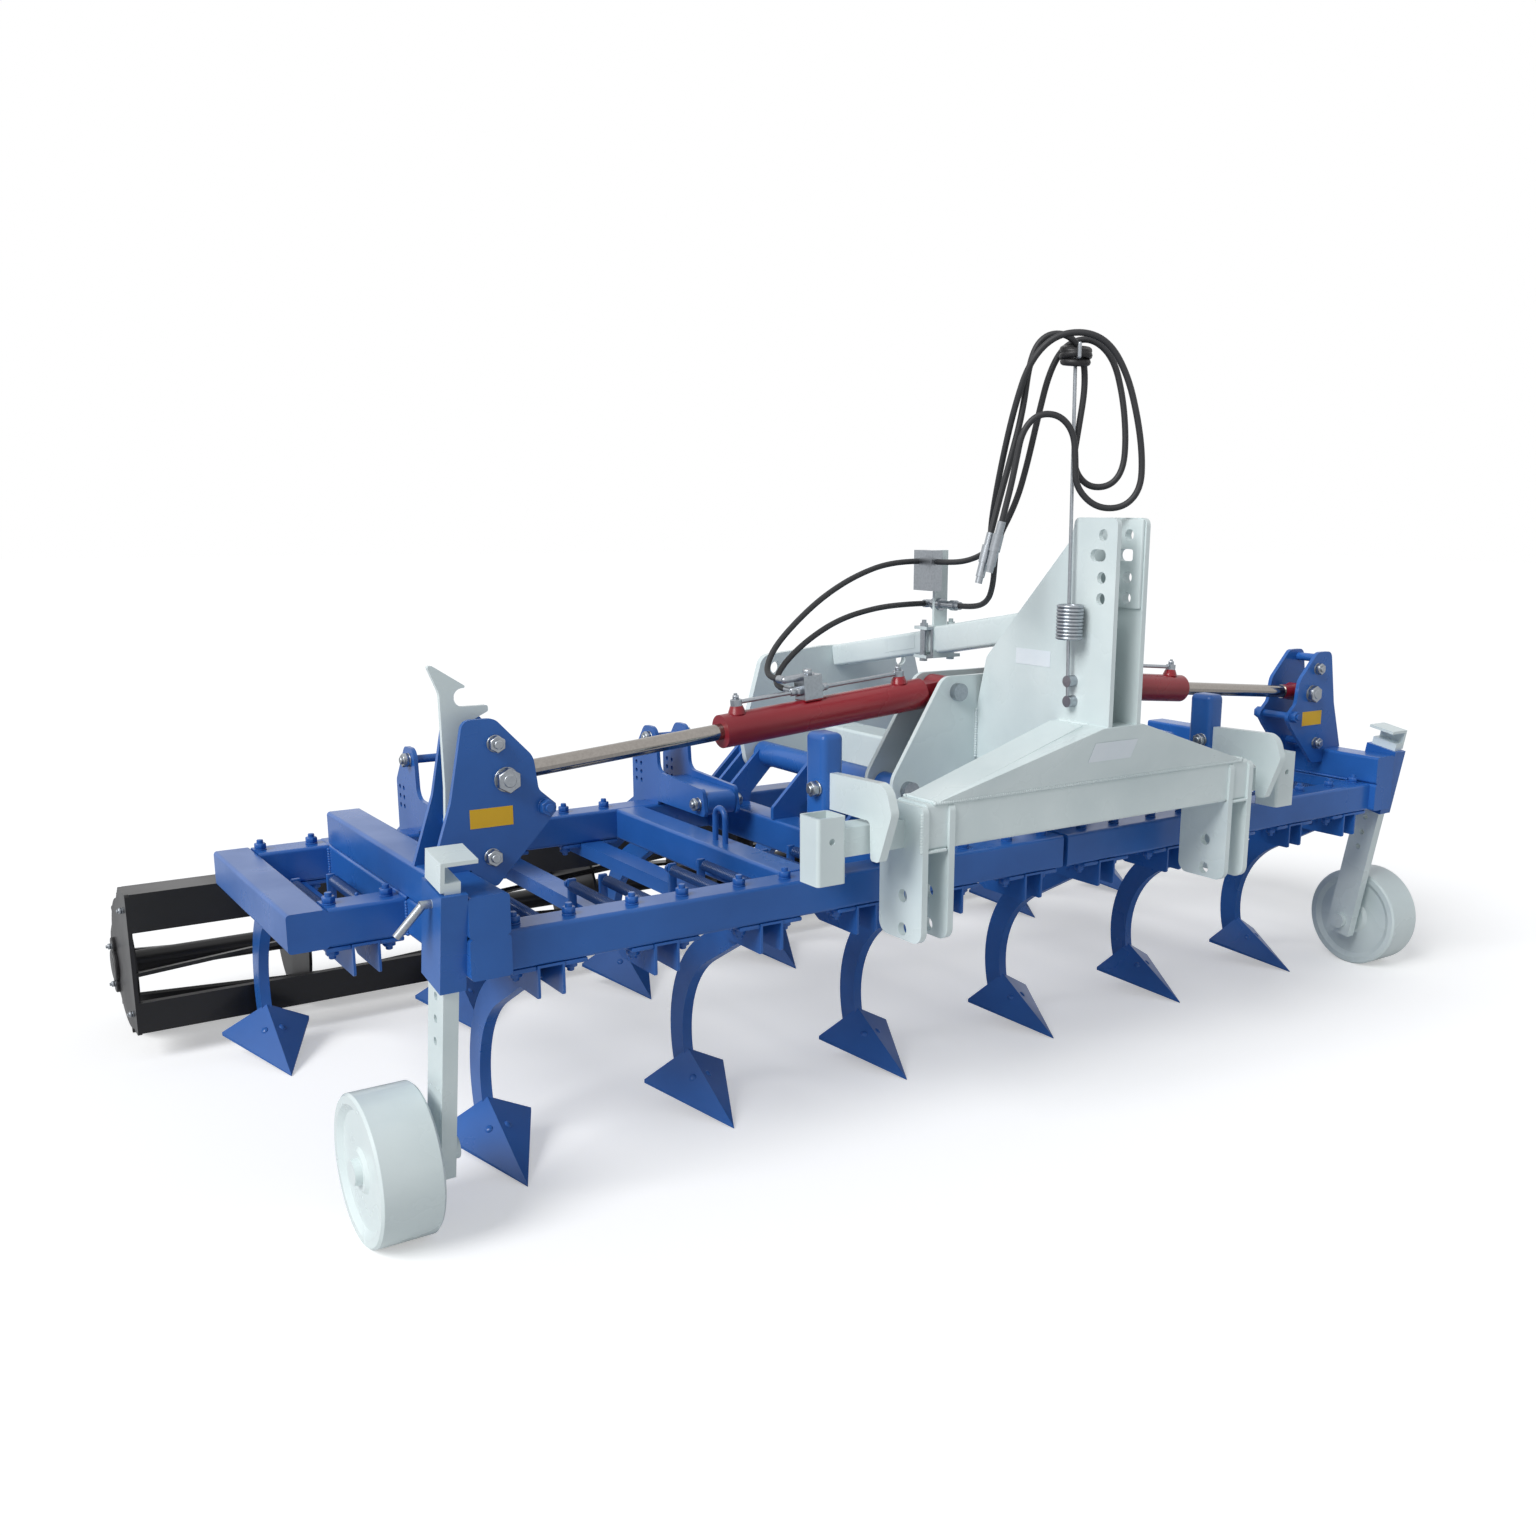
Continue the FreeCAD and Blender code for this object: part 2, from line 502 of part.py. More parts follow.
def make_wing_frame(side):
    """Beams, rails and hinge knuckles of one wing."""
    name = SIDE_NAME[side]
    inner = "-left_overlap" if side == LEFT else "right_start"
    closed = "high" if side == LEFT else "low"
    outer = "outer_rail + tube_side"
    beams = [
        tube(outboard(side, inner, "outer_rail"), place, FRAME, "x", closed)
        for place in (FRONT_BEAM, REAR_BEAM)
    ]
    beams.append(tube(
        outboard(side, outer, f"{EXTENSION_OUT} - tube_side"),
        ("extension_front", "extension_front + tube_side"), FRAME, "x"))
    beams.append(tube(outboard(side, outer, f"{EXTENSION_OUT} - tube_side"), REAR_BEAM, FRAME, "x"))
    node(f"beams_{name}", *beams)

    between = ("tube_side / 2", "row_gap - tube_side / 2")
    rails = [
        tube(outboard(side, start, f"{start} + tube_side"), between, FRAME, "y")
        for start in ("hinge_rail", "mid_rail")
    ]
    rails.append(tube(
        outboard(side, f"{EXTENSION_OUT} - tube_side", EXTENSION_OUT),
        ("extension_front", "row_gap + tube_side / 2"), FRAME, "y", "low"))
    across = outboard(side, "outer_rail", outer)
    lower = tube(across, ("-rail_nose", "row_gap + tube_side / 2"), FRAME, "y", "low")
    upper = tube(
        across, ("-rail_nose", "upper_rail_end"),
        ("frame_low + tube_side", "frame_low + 2 * tube_side"), "y", "low")
    rails.append(fuse(lower, upper))
    node(f"rails_{name}", *rails)

    out, high = S["hinge_out"], S["hinge_high"]
    arm = [
        (S["hinge_rail"], frame_top, 0), (S["hinge_rail"] + S["tube_side"], frame_top, 0),
        (S["hinge_rail"] + S["tube_side"], frame_top + 30, 12), (out + 20, high + 24, 0),
        (out - 22, high - 20, 0), (S["hinge_rail"], frame_top + 20, 12),
    ]
    gap = 6
    knuckles = (
        (lug_front + S["plate"] + gap, lug_rear - gap, (0.1, 0.9)),
        (lug_rear + S["plate"] + gap, S["rear_plate"] - gap, (0.03, 0.5, 0.97)),
        (rear_back + gap, rear_back + knuckle_behind - bolt_head - gap, (0.1, 0.9)),
    )
    solids = []
    for low, stop, shares in knuckles:
        barrel = Part.makeCylinder(S["knuckle"] / 2, stop - low, Vector(side * out, low, high), Y_AXIS)
        arms = []
        for share in shares:
            start = low + share * (stop - low - S["plate"])
            arms.append(plate_across(side, arm, start, start + S["plate"]))
        bore = Part.makeCylinder(
            S["hinge_pin"] / 2 + S["pin_play"], stop - low, Vector(side * out, low, high), Y_AXIS)
        solids.append(feature(barrel.fuse(arms).cut(bore).removeSplitter()))
    node(f"hinge_knuckles_{name}", *solids)

    loop = [
        cylinder("z", ("frame_low + tube_side", "loop_top - loop_half - loop_rod / 2"),
                 (f"{side} * (mid_rail + tube_side / 2)", f"loop_behind {sign} loop_half"), "loop_rod / 2")
        for sign in ("+", "-")
    ]
    bend = doc.addObject("Part::Torus", "Bend")
    bend.setExpression("Radius1", "Sizes.loop_half")
    bend.setExpression("Radius2", "Sizes.loop_rod / 2")
    bend.Angle3 = 180
    bend.Placement = FreeCAD.Placement(
        Vector(side * (S["mid_rail"] + S["tube_side"] / 2), S["loop_behind"],
               S["loop_top"] - S["loop_half"] - S["loop_rod"] / 2),
        FreeCAD.Rotation(Y_AXIS, Z_AXIS, X_AXIS, "XYZ"))
    node(f"lifting_loop_{name}", fuse(bend, *loop))


def make_cylinder_bracket(side):
    """Two upright plates over the double rail that hold the rod's eye, with their spacers."""
    name = SIDE_NAME[side]
    rail_top = frame_top + S["tube_side"]
    catch, high = catch_out, S["catch_high"]
    points = [
        (rail_out, rail_top, 0), (catch + 52, 830, 60), (catch + 22, high + 22, 21),
        (catch - 42, high + 22, 26), (rail_in - 136, 906, 40), (rail_in - 145, 838, 20),
        (rail_in - 187, 800, 16), (rail_in - 159, 766, 20), (rail_in - 52, frame_top + 42, 12),
        (rail_in, frame_top + 42, 0), (rail_in, rail_top, 0),
    ]
    spacers = [(rail_in - 158, 802, 11), (rail_in - 43, 714, 11)]
    holes = [(eye_out, S["ram_eye_high"], S["ram_pin"] / 2)]
    low = S["ram_middle"] - S["lug_gap"] / 2
    high_y = S["ram_middle"] + S["lug_gap"] / 2
    if side == LEFT:
        spacers.append((*HOOK_PIN, hook_pin_radius))
    else:
        spacers.append((catch, high, S["catch_tube"] / 2))
    plates = [
        plate_across(side, points, start, start + S["plate"], holes)
        for start in (low - S["plate"], high_y)
    ]
    tubes = [
        Part.makeCylinder(r, high_y - low + 2 * S["plate"], Vector(side * u, low - S["plate"], v), Y_AXIS)
        for u, v, r in spacers
    ]
    heads = [
        Part.makeCylinder(17, 14, Vector(side * eye_out, start, S["ram_eye_high"]), Y_AXIS)
        for start in (low - S["plate"] - 14, high_y + S["plate"])
    ]
    node(f"ram_bracket_{name}", feature(plates[0].fuse([plates[1]] + tubes + heads).removeSplitter()))
    if side == LEFT:
        make_transport_hook()


def make_transport_hook():
    """The hook on the left bracket that drops over the right bracket's catch tube when folded."""
    catch = catch_out
    notch = 2 * S["hinge_out"] + S["hinge_high"] - S["catch_high"] + S["hinge_high"]
    foot, low = HOOK_PIN
    half = S["catch_tube"] / 2 + S["hook_play"]
    points = [
        (foot - 21, low - 23, 18), (foot + 21, low - 23, 18), (foot + 17, low + 75, 40), (catch + 46, notch + 10, 40),
        (catch + 68, notch + half + 46, 4), (catch + 58, notch + half + 46, 4),
        (catch - 12, notch + half, 3), (catch, notch + half, 0),
        (catch + half, notch + half, half - 0.5), (catch + half, notch - half, half - 0.5),
        (catch, notch - half, 0), (catch - 50, notch - half, 5), (catch - 50, notch - half - 12, 5),
        (catch - 8, notch - half - 32, 20), (catch + 8, notch - half - 62, 20), (foot - 19, low + 75, 40),
    ]
    middle = S["ram_middle"]
    half = S["plate"] / 2
    bore = [(foot, low, hook_pin_radius + S["seat_play"])]
    shape = plate_across(LEFT, points, middle - half, middle + half, bore)
    node("transport_hook", feature(shape))


def make_lock_post(side):
    """Post on the front beam with the claw that drops over the bar of the stand socket."""
    name = SIDE_NAME[side]
    post = tube(
        outboard(side, "lock_out", "lock_out + lock_wide"),
        ("-lock_front", "lock_deep - lock_front"), ("frame_low + tube_side", "lock_top"), "z", "high")
    node(f"lock_post_{name}", post)
    under = S["bar_high"] + S["claw_play"]
    jaw = -S["bar_front"] - 0.8 * S["claw_play"]
    points = [
        (-S["lock_front"], under, 0), (jaw, under, 10), (jaw - 4, under - 82, 8), (jaw - 32, under - 82, 12),
        (jaw - 74, under + 25, 26), (jaw - 52, under + 84, 40), (-S["lock_front"], under + 78, 0),
    ]
    low = S["lock_out"] + (S["lock_wide"] - S["claw_thick"]) / 2
    node(f"lock_claw_{name}", feature(plate_along(points, side * low, side * (low + S["claw_thick"]))))


def make_tines(side):
    """Channels under the beams, curved shanks, shares and the paired springs."""
    name = SIDE_NAME[side]
    pitch = S["tine_pitch"]
    steps = {LEFT: range(-6, 1), RIGHT: range(1, 7)}[side]
    channels, shanks, shares, springs = [], [], [], []
    for step in steps:
        rear_row = step % 2 == 0
        outer_one = abs(step) == 6
        x = step * pitch
        back = S["row_gap"] if rear_row else 0
        channels.append(feature(tine_channel(x, back, outer_one)))
        shank = tine_shank(x, back)
        shanks.append(feature(shank))
        shares.append(feature(tine_share(x, back).cut(shank)))
        ahead = S["spring_front"] + (S["extension_front"] + S["tube_side"] / 2 if outer_one else 0)
        for way in (-1, 1):
            springs.append(feature(tine_spring(x, way, ahead)))
    node(f"tine_channels_{name}", *channels)
    node(f"tine_shanks_{name}", *shanks)
    node(f"tine_shares_{name}", *shares)
    node(f"tine_springs_{name}", *springs)


def pivot_place(back):
    """Upper end of a shank's middle line, where it is pinned in its channel."""
    middle = S["front_point"] - S["share_back"] + back
    turn = math.radians(60)
    y = middle + S["shank_bend"] * math.cos(turn) - 190 * math.sin(turn)
    z = S["bend_high"] + S["shank_bend"] * math.sin(turn) + 190 * math.cos(turn)
    return y, z


def tine_channel(x, back, outer_one):
    """An inverted channel clamped under both beams, deep at the front and at its pivot."""
    top = S["frame_low"]
    deep, shallow = top - S["channel_deep"], top - S["channel_shallow"]
    start = S["extension_front"] if outer_one else -S["tube_side"] / 2
    rear_end = S["row_gap"] + S["tube_side"] / 2
    points = [(start, top, 0), (start, deep, 6)]
    points += [(start + 150, deep, 20), (start + 210, shallow, 20)]
    if back:
        points += [
            (back - 90, shallow, 20), (back - 40, deep, 20), (rear_end + 75, deep, 20), (rear_end + 95, top, 0),
        ]
    else:
        points += [(rear_end, shallow, 0), (rear_end, top, 0)]
    half = S["channel_wide"] / 2
    wall = S["channel_wall"]
    flanges = [plate_along(points, x + low, x + low + wall) for low in (-half, half - wall)]
    end = rear_end + 95 if back else rear_end
    web = Part.makeBox(2 * half - 2 * wall, end - start, wall, Vector(x - half + wall, start, top - wall))
    y, z = pivot_place(back)
    pivot = Part.makeCylinder(8, 2 * half + 24, Vector(x - half - 12, y, z), X_AXIS)
    return web.fuse(flanges + [pivot]).removeSplitter()


def tine_shank(x, back):
    """A flat bar bent to an arc of a circle, with a straight neck up to its pivot."""
    middle = S["front_point"] - S["share_back"] + back
    high = S["bend_high"]
    inner = S["shank_bend"] - S["shank_deep"] / 2
    outer = S["shank_bend"] + S["shank_deep"] / 2

    def on_bend(radius, degrees):
        turn = math.radians(degrees)
        return Vector(0, middle + radius * math.cos(turn), high + radius * math.sin(turn))

    top, foot, sole = 60, -22, -14
    toe = Vector(0, -40, -20)
    tip = Vector(0, -150, -28)
    neck = Vector(0, -math.sin(math.radians(top)), math.cos(math.radians(top))) * 215
    edges = [
        Part.Arc(on_bend(outer, top), on_bend(outer, (top + foot) / 2), on_bend(outer, foot)).toShape(),
        Part.LineSegment(on_bend(outer, foot), on_bend(outer, foot) + toe).toShape(),
        Part.LineSegment(on_bend(outer, foot) + toe, on_bend(outer, foot) + tip).toShape(),
        Part.LineSegment(on_bend(outer, foot) + tip, on_bend(inner, sole)).toShape(),
        Part.Arc(on_bend(inner, sole), on_bend(inner, (top + sole) / 2), on_bend(inner, top)).toShape(),
        Part.LineSegment(on_bend(inner, top), on_bend(inner, top) + neck).toShape(),
        Part.LineSegment(on_bend(inner, top) + neck, on_bend(outer, top) + neck).toShape(),
        Part.LineSegment(on_bend(outer, top) + neck, on_bend(outer, top)).toShape(),
    ]
    face = Part.Face(Part.Wire(Part.__sortEdges__(edges)))
    face.translate(Vector(x - S["shank_thick"] / 2, 0, 0))
    y, z = pivot_place(back)
    hole = Part.makeCylinder(8 + S["seat_play"], 2 * S["channel_wide"], Vector(x - S["channel_wide"], y, z), X_AXIS)
    room = Part.makeBox(
        S["channel_wide"], 2 * S["tine_pitch"], S["tube_side"],
        Vector(x - S["channel_wide"] / 2, middle - S["tine_pitch"], S["frame_low"] - S["channel_wall"] - 1))
    return face.extrude(Vector(S["shank_thick"], 0, 0)).cut(hole).cut(room)


def tine_share(x, back):
    """A duckfoot share: two flat wings that meet in a ridge, pointed at the ground."""
    point_y = S["front_point"] + back
    wing_y = point_y + S["share_long"]
    ridge_y = point_y + S["share_long"] - 20
    thick = S["share_thick"]
    under = [
        Vector(x, point_y, 0), Vector(x - S["share_half"], wing_y, S["share_wing_high"]),
        Vector(x, ridge_y, S["share_ridge_high"]), Vector(x + S["share_half"], wing_y, S["share_wing_high"]),
    ]
    over = [under[0] + Vector(0, 0, thick / 3)] + [corner + Vector(0, 0, thick) for corner in under[1:]]

    def facet(*corners):
        return Part.Face(Part.makePolygon(list(corners) + [corners[0]]))

    faces = [
        facet(under[0], under[1], under[2]), facet(under[0], under[2], under[3]),
        facet(over[0], over[1], over[2]), facet(over[0], over[2], over[3]),
    ]
    for start, stop in ((0, 1), (1, 2), (2, 3), (3, 0)):
        faces.append(facet(under[start], under[stop], over[stop], over[start]))
    solid = Part.makeSolid(Part.makeShell(faces))
    if solid.Volume < 0:
        solid.reverse()
    return solid


def tine_spring(x, way, ahead):
    """A coil spring beside the channel, with an anchor bolt in front and a lug plate behind."""
    centre = x + way * S["spring_out"]
    high = S["spring_high"]
    body = Part.makeCylinder(S["spring_wide"] / 2, S["spring_long"], Vector(centre, ahead, high), Y_AXIS)
    stop = ahead + S["spring_long"]
    lug_low = S["frame_low"] - S["channel_shallow"]
    lug = plate_along(
        [(stop, lug_low, 4), (stop + 34, lug_low, 4), (stop + 34, high + 16, 8), (stop, high + 16, 8)],
        x + way * S["channel_wide"] / 2, x + way * (S["spring_out"] + 6))
    front = plate_along(
        [(ahead - 20, lug_low, 4), (ahead, lug_low, 4), (ahead, high + 12, 6), (ahead - 20, high + 12, 6)],
        x + way * S["channel_wide"] / 2, x + way * (S["spring_out"] + 6))
    return body.fuse([lug, front])


def make_roller_carriers(side):
    """Bracket plates on the rear beam and the pinned arms that hold the roller frame."""
    name = SIDE_NAME[side]
    plates, arms = [], []
    beam_rear = S["row_gap"] + S["tube_side"] / 2
    beam_front = S["row_gap"] - S["tube_side"] / 2
    outline_points = [
        (beam_front, frame_top, 0), (beam_rear, frame_top, 0), (beam_rear, frame_top - 45, 0),
        (985, frame_top - 45, 10), (985, 726, 20), (912, 818, 28), (848, 818, 28), (838, 700, 30),
        (600, 690, 14), (586, frame_top + 8, 12), (beam_front, frame_top + 8, 0),
    ]
    pivot = (620, S["arm_low"] + S["arm_deep"] / 2)
    pins = [pivot, (880, 788)]
    rows = [(y, z, 6) for y in (934, 962) for z in (664, 687, 710)]
    for middle in (S["arm_inner"], S["arm_outer"]):
        near = S["arm_wide"] / 2 + S["arm_side_play"]
        for way in (-1, 1):
            start = side * (middle + way * near)
            stop = side * (middle + way * (near + 10))
            plates.append(plate_along(outline_points, start, stop, rows))
        for y, z in pins:
            reach = near + 18
            plates.append(Part.makeCylinder(10, 2 * reach, Vector(side * middle - reach, y, z), X_AXIS))
        beam_top = S["roller_beam_low"] + S["roller_beam"]
        arm = [
            (590, S["arm_low"], 26), (beam_rear + 6, S["arm_low"], 20), (S["roller_beam_front"], beam_top - 68, 0),
            (S["roller_beam_front"], beam_top, 0), (beam_rear - 52, S["arm_low"] + S["arm_deep"], 40),
            (590, S["arm_low"] + S["arm_deep"], 26),
        ]
        half = S["arm_wide"] / 2
        shape = plate_along(arm, side * middle - half, side * middle + half, [(*pivot, 10 + S["seat_play"])])
        arms.append(feature(shape))
    joined = []
    for first in (0, 4):
        joined.append(feature(plates[first].fuse(plates[first + 1:first + 4]).removeSplitter()))
    node(f"roller_brackets_{name}", *joined)
    node(f"roller_arms_{name}", *arms)


def make_roller_frame(side):
    """Top beam, lower bar and end plates of the roller frame."""
    name = SIDE_NAME[side]
    low, high = S["roller_frame_in"], S["roller_frame_out"]
    plate = S["roller_plate"]
    front = S["roller_beam_front"]
    beam_low = S["roller_beam_low"]
    top = beam_low + S["roller_beam"]
    axle_y, axle_z = S["roller_behind"], S["roller_radius"]
    points = [
        (front, top, 8), (front + S["roller_beam"], top, 8), (axle_y + 62, axle_z + 70, 50),
        (axle_y + 62, axle_z - 60, 50), (front + 40, 70, 20), (front, 70, 8),
    ]
    bore = [(axle_y, axle_z, S["roller_shaft"] / 2 + S["pin_play"])]
    ends = [
        feature(plate_along(points, side * start, side * (start + plate), bore))
        for start in (low, high - plate)
    ]
    inner = sorted((side * (low + plate), side * (high - plate)))
    wall = S["tube_wall"]
    outer_beam = Part.makeBox(inner[1] - inner[0], S["roller_beam"], S["roller_beam"], Vector(inner[0], front, beam_low))
    hollow = Part.makeBox(
        inner[1] - inner[0], S["roller_beam"] - 2 * wall, S["roller_beam"] - 2 * wall,
        Vector(inner[0], front + wall, beam_low + wall))
    lower_bar = Part.makeBox(inner[1] - inner[0], 20, 80, Vector(inner[0], front, 75))
    node(f"roller_beams_{name}", feature(outer_beam.cut(hollow)), feature(lower_bar))
    node(f"roller_plates_{name}", *ends)


def make_roller(side):
    """Cage roller: twisted rows of flat bars round five discs on a tube, and its stub shafts."""
    name = SIDE_NAME[side]
    gap = 8
    low = S["roller_frame_in"] + S["roller_plate"] + gap
    high = S["roller_frame_out"] - S["roller_plate"] - gap
    length = high - low
    radius = S["roller_radius"]
    disc_thick, bays = 8, 4
    bay = (length - disc_thick) / bays
    tall, thick, twist = 30, 10, 10
    discs = [
        Part.makeCylinder(radius - 14, disc_thick, Vector(step * bay, 0, 0), X_AXIS)
        for step in range(bays + 1)
    ]
    bars = []
    for start_turn in range(0, 360, 45):
        for step in range(bays):
            middle_turn = math.radians(start_turn + (step + 0.5) * twist)
            shift = (radius - tall / 2) * math.radians(twist)
            outward = Vector(0, math.cos(middle_turn), math.sin(middle_turn))
            run = Vector(bay, 0, 0) + X_AXIS.cross(outward) * shift
            bar = Part.makeBox(run.Length + 6, thick, tall, Vector(-run.Length / 2 - 3, -thick / 2, -tall / 2))
            bar.Placement = FreeCAD.Placement(
                Vector((step + 0.5) * bay + disc_thick / 2, 0, 0) + outward * (radius - tall / 2),
                FreeCAD.Rotation(run, Vector(), outward, "XZY"))
            bars.append(bar)
    core = Part.makeCylinder(30, length, Vector(), X_AXIS)
    shaft_long = S["roller_plate"] + gap + 10
    shaft = Part.makeCylinder(S["roller_shaft"] / 2, length + 2 * shaft_long, Vector(-shaft_long, 0, 0), X_AXIS)
    ends = Part.makeCylinder(radius, length, Vector(), X_AXIS)
    cage = discs[0].fuse(discs[1:] + bars + [core]).common(ends)
    whole = cage.fuse(shaft).removeSplitter()
    if side == LEFT:
        whole = whole.mirror(Vector(), X_AXIS)
    whole.translate(Vector(side * low, S["roller_behind"], radius))
    node(f"roller_{name}", feature(whole))


def make_wheel(side):
    """Leaning post in its sleeve, with the height pin, the axle and the steel wheel."""
    name = SIDE_NAME[side]
    wheel_in = rail_out + S["wheel_gap"]
    wheel_out = wheel_in + S["wheel_wide"]
    radius = S["wheel_radius"]
    wall, thick, deep = S["sleeve_wall"], S["post_thick"], S["post_deep"]
    play = 0.3
    lean = FreeCAD.Placement(
        Vector(0, S["wheel_behind"], radius), FreeCAD.Rotation(X_AXIS, S["post_lean"]))

    def upright(out_low, out_high, y, z):
        x = sorted((side * out_low, side * out_high))
        return Part.makeBox(x[1] - x[0], y[1] - y[0], z[1] - z[0], Vector(x[0], y[0], z[0]))

    def across(out_low, out_high, y, z, r):
        x = sorted((side * out_low, side * out_high))
        return Part.makeCylinder(r, x[1] - x[0], Vector(x[0], y, z), X_AXIS)

    post_in = rail_out + wall + play
    post_out = post_in + thick
    sleeve_z = (S["sleeve_low"], S["sleeve_low"] + S["sleeve_long"])
    pin_high = sleeve_z[1] - 32
    sleeve = upright(rail_out, post_out + play + wall, (-deep / 2 - wall - play, deep / 2 + wall + play), sleeve_z)
    sleeve = sleeve.cut(upright(post_in - play, post_out + play, (-deep / 2 - play, deep / 2 + play), (0, 900)))
    pin_hole = across(rail_out + 1, post_out + 60, 0, pin_high, 8 + play)
    sleeve = sleeve.cut(pin_hole)
    post_top = sleeve_z[1] + S["post_spare"]
    post = upright(post_in, post_out, (-deep / 2, deep / 2), (-42, post_top))
    for step in range(7):
        post = post.cut(across(post_in - 1, post_out + 1, 0, pin_high - 48 * step, 8 + play))
    axle_hole = across(post_in - 1, post_out + 1, 0, 0, S["axle"] / 2 + play)
    strap = upright(post_out, post_out + 8, (-deep / 2, deep / 2), (post_top - 18, post_top + 40))
    lid = upright(post_out - 62, post_out + 8, (-deep / 2, deep / 2), (post_top + 32, post_top + 40))
    axle = across(post_in - 16, wheel_out - 20, 0, 0, S["axle"] / 2)
    axle = axle.fuse(across(post_in - 16, post_in - play, 0, 0, S["axle"] / 2 + 8))
    pin = across(rail_out + 4, post_out + wall + 22, 0, pin_high, 8)
    handle = bar_between(
        Vector(side * (post_out + wall + 16), 0, pin_high),
        Vector(side * (post_out + wall + 62), 6, pin_high - 60), 8)
    pieces = [post.cut(axle_hole).fuse([strap, lid]).removeSplitter(), axle, pin.fuse(handle)]
    for piece in pieces + [sleeve]:
        piece.Placement = lean.multiply(piece.Placement)
    node(f"post_sleeve_{name}", feature(sleeve))
    node(f"wheel_post_{name}", *[feature(piece) for piece in pieces])

    bore = S["axle"] / 2 + S["pin_play"]
    profile = [
        (wheel_in, bore), (wheel_in, 42), (wheel_in + 9, 52), (wheel_in + 9, radius - 34),
        (wheel_in, radius - 20), (wheel_in, radius - 5), (wheel_in + 5, radius),
        (wheel_out - 5, radius), (wheel_out, radius - 5), (wheel_out, radius - 20),
        (wheel_out - 10, radius - 34), (wheel_out - 10, 46), (wheel_out - 4, 38), (wheel_out - 4, 27),
        (wheel_out + 10, 25), (wheel_out + 10, 0), (wheel_out - 16, 0), (wheel_out - 16, bore),
    ]
    corners = [Vector(side * a, 0, r) for a, r in profile]
    face = Part.Face(Part.makePolygon(corners + [corners[0]]))
    wheel = face.revolve(Vector(), X_AXIS, 360)
    wheel.translate(Vector(0, S["wheel_behind"], radius))
    node(f"wheel_{name}", feature(wheel))


def make_fold_cylinder(side):
    """Barrel with its ports and pipe block, and the chromed rod with its eye."""
    name = SIDE_NAME[side]
    base = Vector(S["ram_base_out"], S["ram_middle"], S["ram_base_high"])
    eye = Vector(eye_out, S["ram_middle"], S["ram_eye_high"])
    long = (eye - base).Length
    lie = FreeCAD.Placement(base, FreeCAD.Rotation(X_AXIS, eye - base))

    def round_part(start, stop, radius):
        return Part.makeCylinder(radius, stop - start, Vector(start, 0, 0), X_AXIS)

    def in_place(shape):
        shape.Placement = lie.multiply(shape.Placement)
        return shape if side == RIGHT else shape.mirror(Vector(), X_AXIS)

    outside, bore, rod = S["ram_tube"] / 2, S["ram_bore"] / 2, S["ram_rod"] / 2
    reach = S["ram_length"]
    eye_half = S["lug_gap"] / 2 - 6
    barrel = round_part(70, reach, outside)
    tail = Part.makeCylinder(34, 2 * eye_half, Vector(0, -eye_half, 0), Y_AXIS)
    neck = Part.makeBox(80, 2 * eye_half - 20, 50, Vector(0, -eye_half + 10, -25))
    ports = [Part.makeCylinder(12, 30, Vector(place, 0, outside - 5), Z_AXIS) for place in (130, reach - 45)]
    block_start, block_long, block_tall = reach / 2 + 50, 49, 57
    block = Part.makeBox(block_long, 42, block_tall, Vector(block_start, -21, outside - 2))
    pieces = [tail, neck, block] + ports
    if side == LEFT:
        for along, up in ((450.1, 88.45), (432.2, 62.84)):
            corner = Vector(along, 0, up)
            pieces.append(Part.makeCylinder(8, along - block_start - 10, corner, -X_AXIS))
            pieces.append(Part.makeSphere(8, corner))
            pieces.append(Part.makeCylinder(9, 24, corner, Y_AXIS))
    body = barrel.fuse(pieces)
    body = body.cut(round_part(110, reach - 40, bore)).cut(round_part(100, reach + 1, rod + 0.3))
    body = body.cut(Part.makeCylinder(
        S["ram_pin"] / 2 + S["pin_play"], 2 * eye_half, Vector(0, -eye_half, 0), Y_AXIS))
    node(f"ram_barrel_{name}", feature(in_place(body.removeSplitter())))

    head_half = S["lug_gap"] / 2 - 20
    shaft = round_part(reach - 75, long - 20, rod)
    piston = round_part(reach - 85, reach - 60, bore - 0.5)
    head = Part.makeCylinder(26, 2 * head_half, Vector(long, -head_half, 0), Y_AXIS)
    collar = Part.makeCone(24, 20, 50, Vector(long - 20, 0, 0), Vector(-1, 0, 0))
    pin = Part.makeCylinder(
        S["ram_pin"] / 2, S["lug_gap"] - 12, Vector(long, 6 - S["lug_gap"] / 2, 0), Y_AXIS)
    stem = shaft.fuse([piston, head, collar, pin]).removeSplitter()
    node(f"ram_rod_{name}", feature(in_place(stem)))


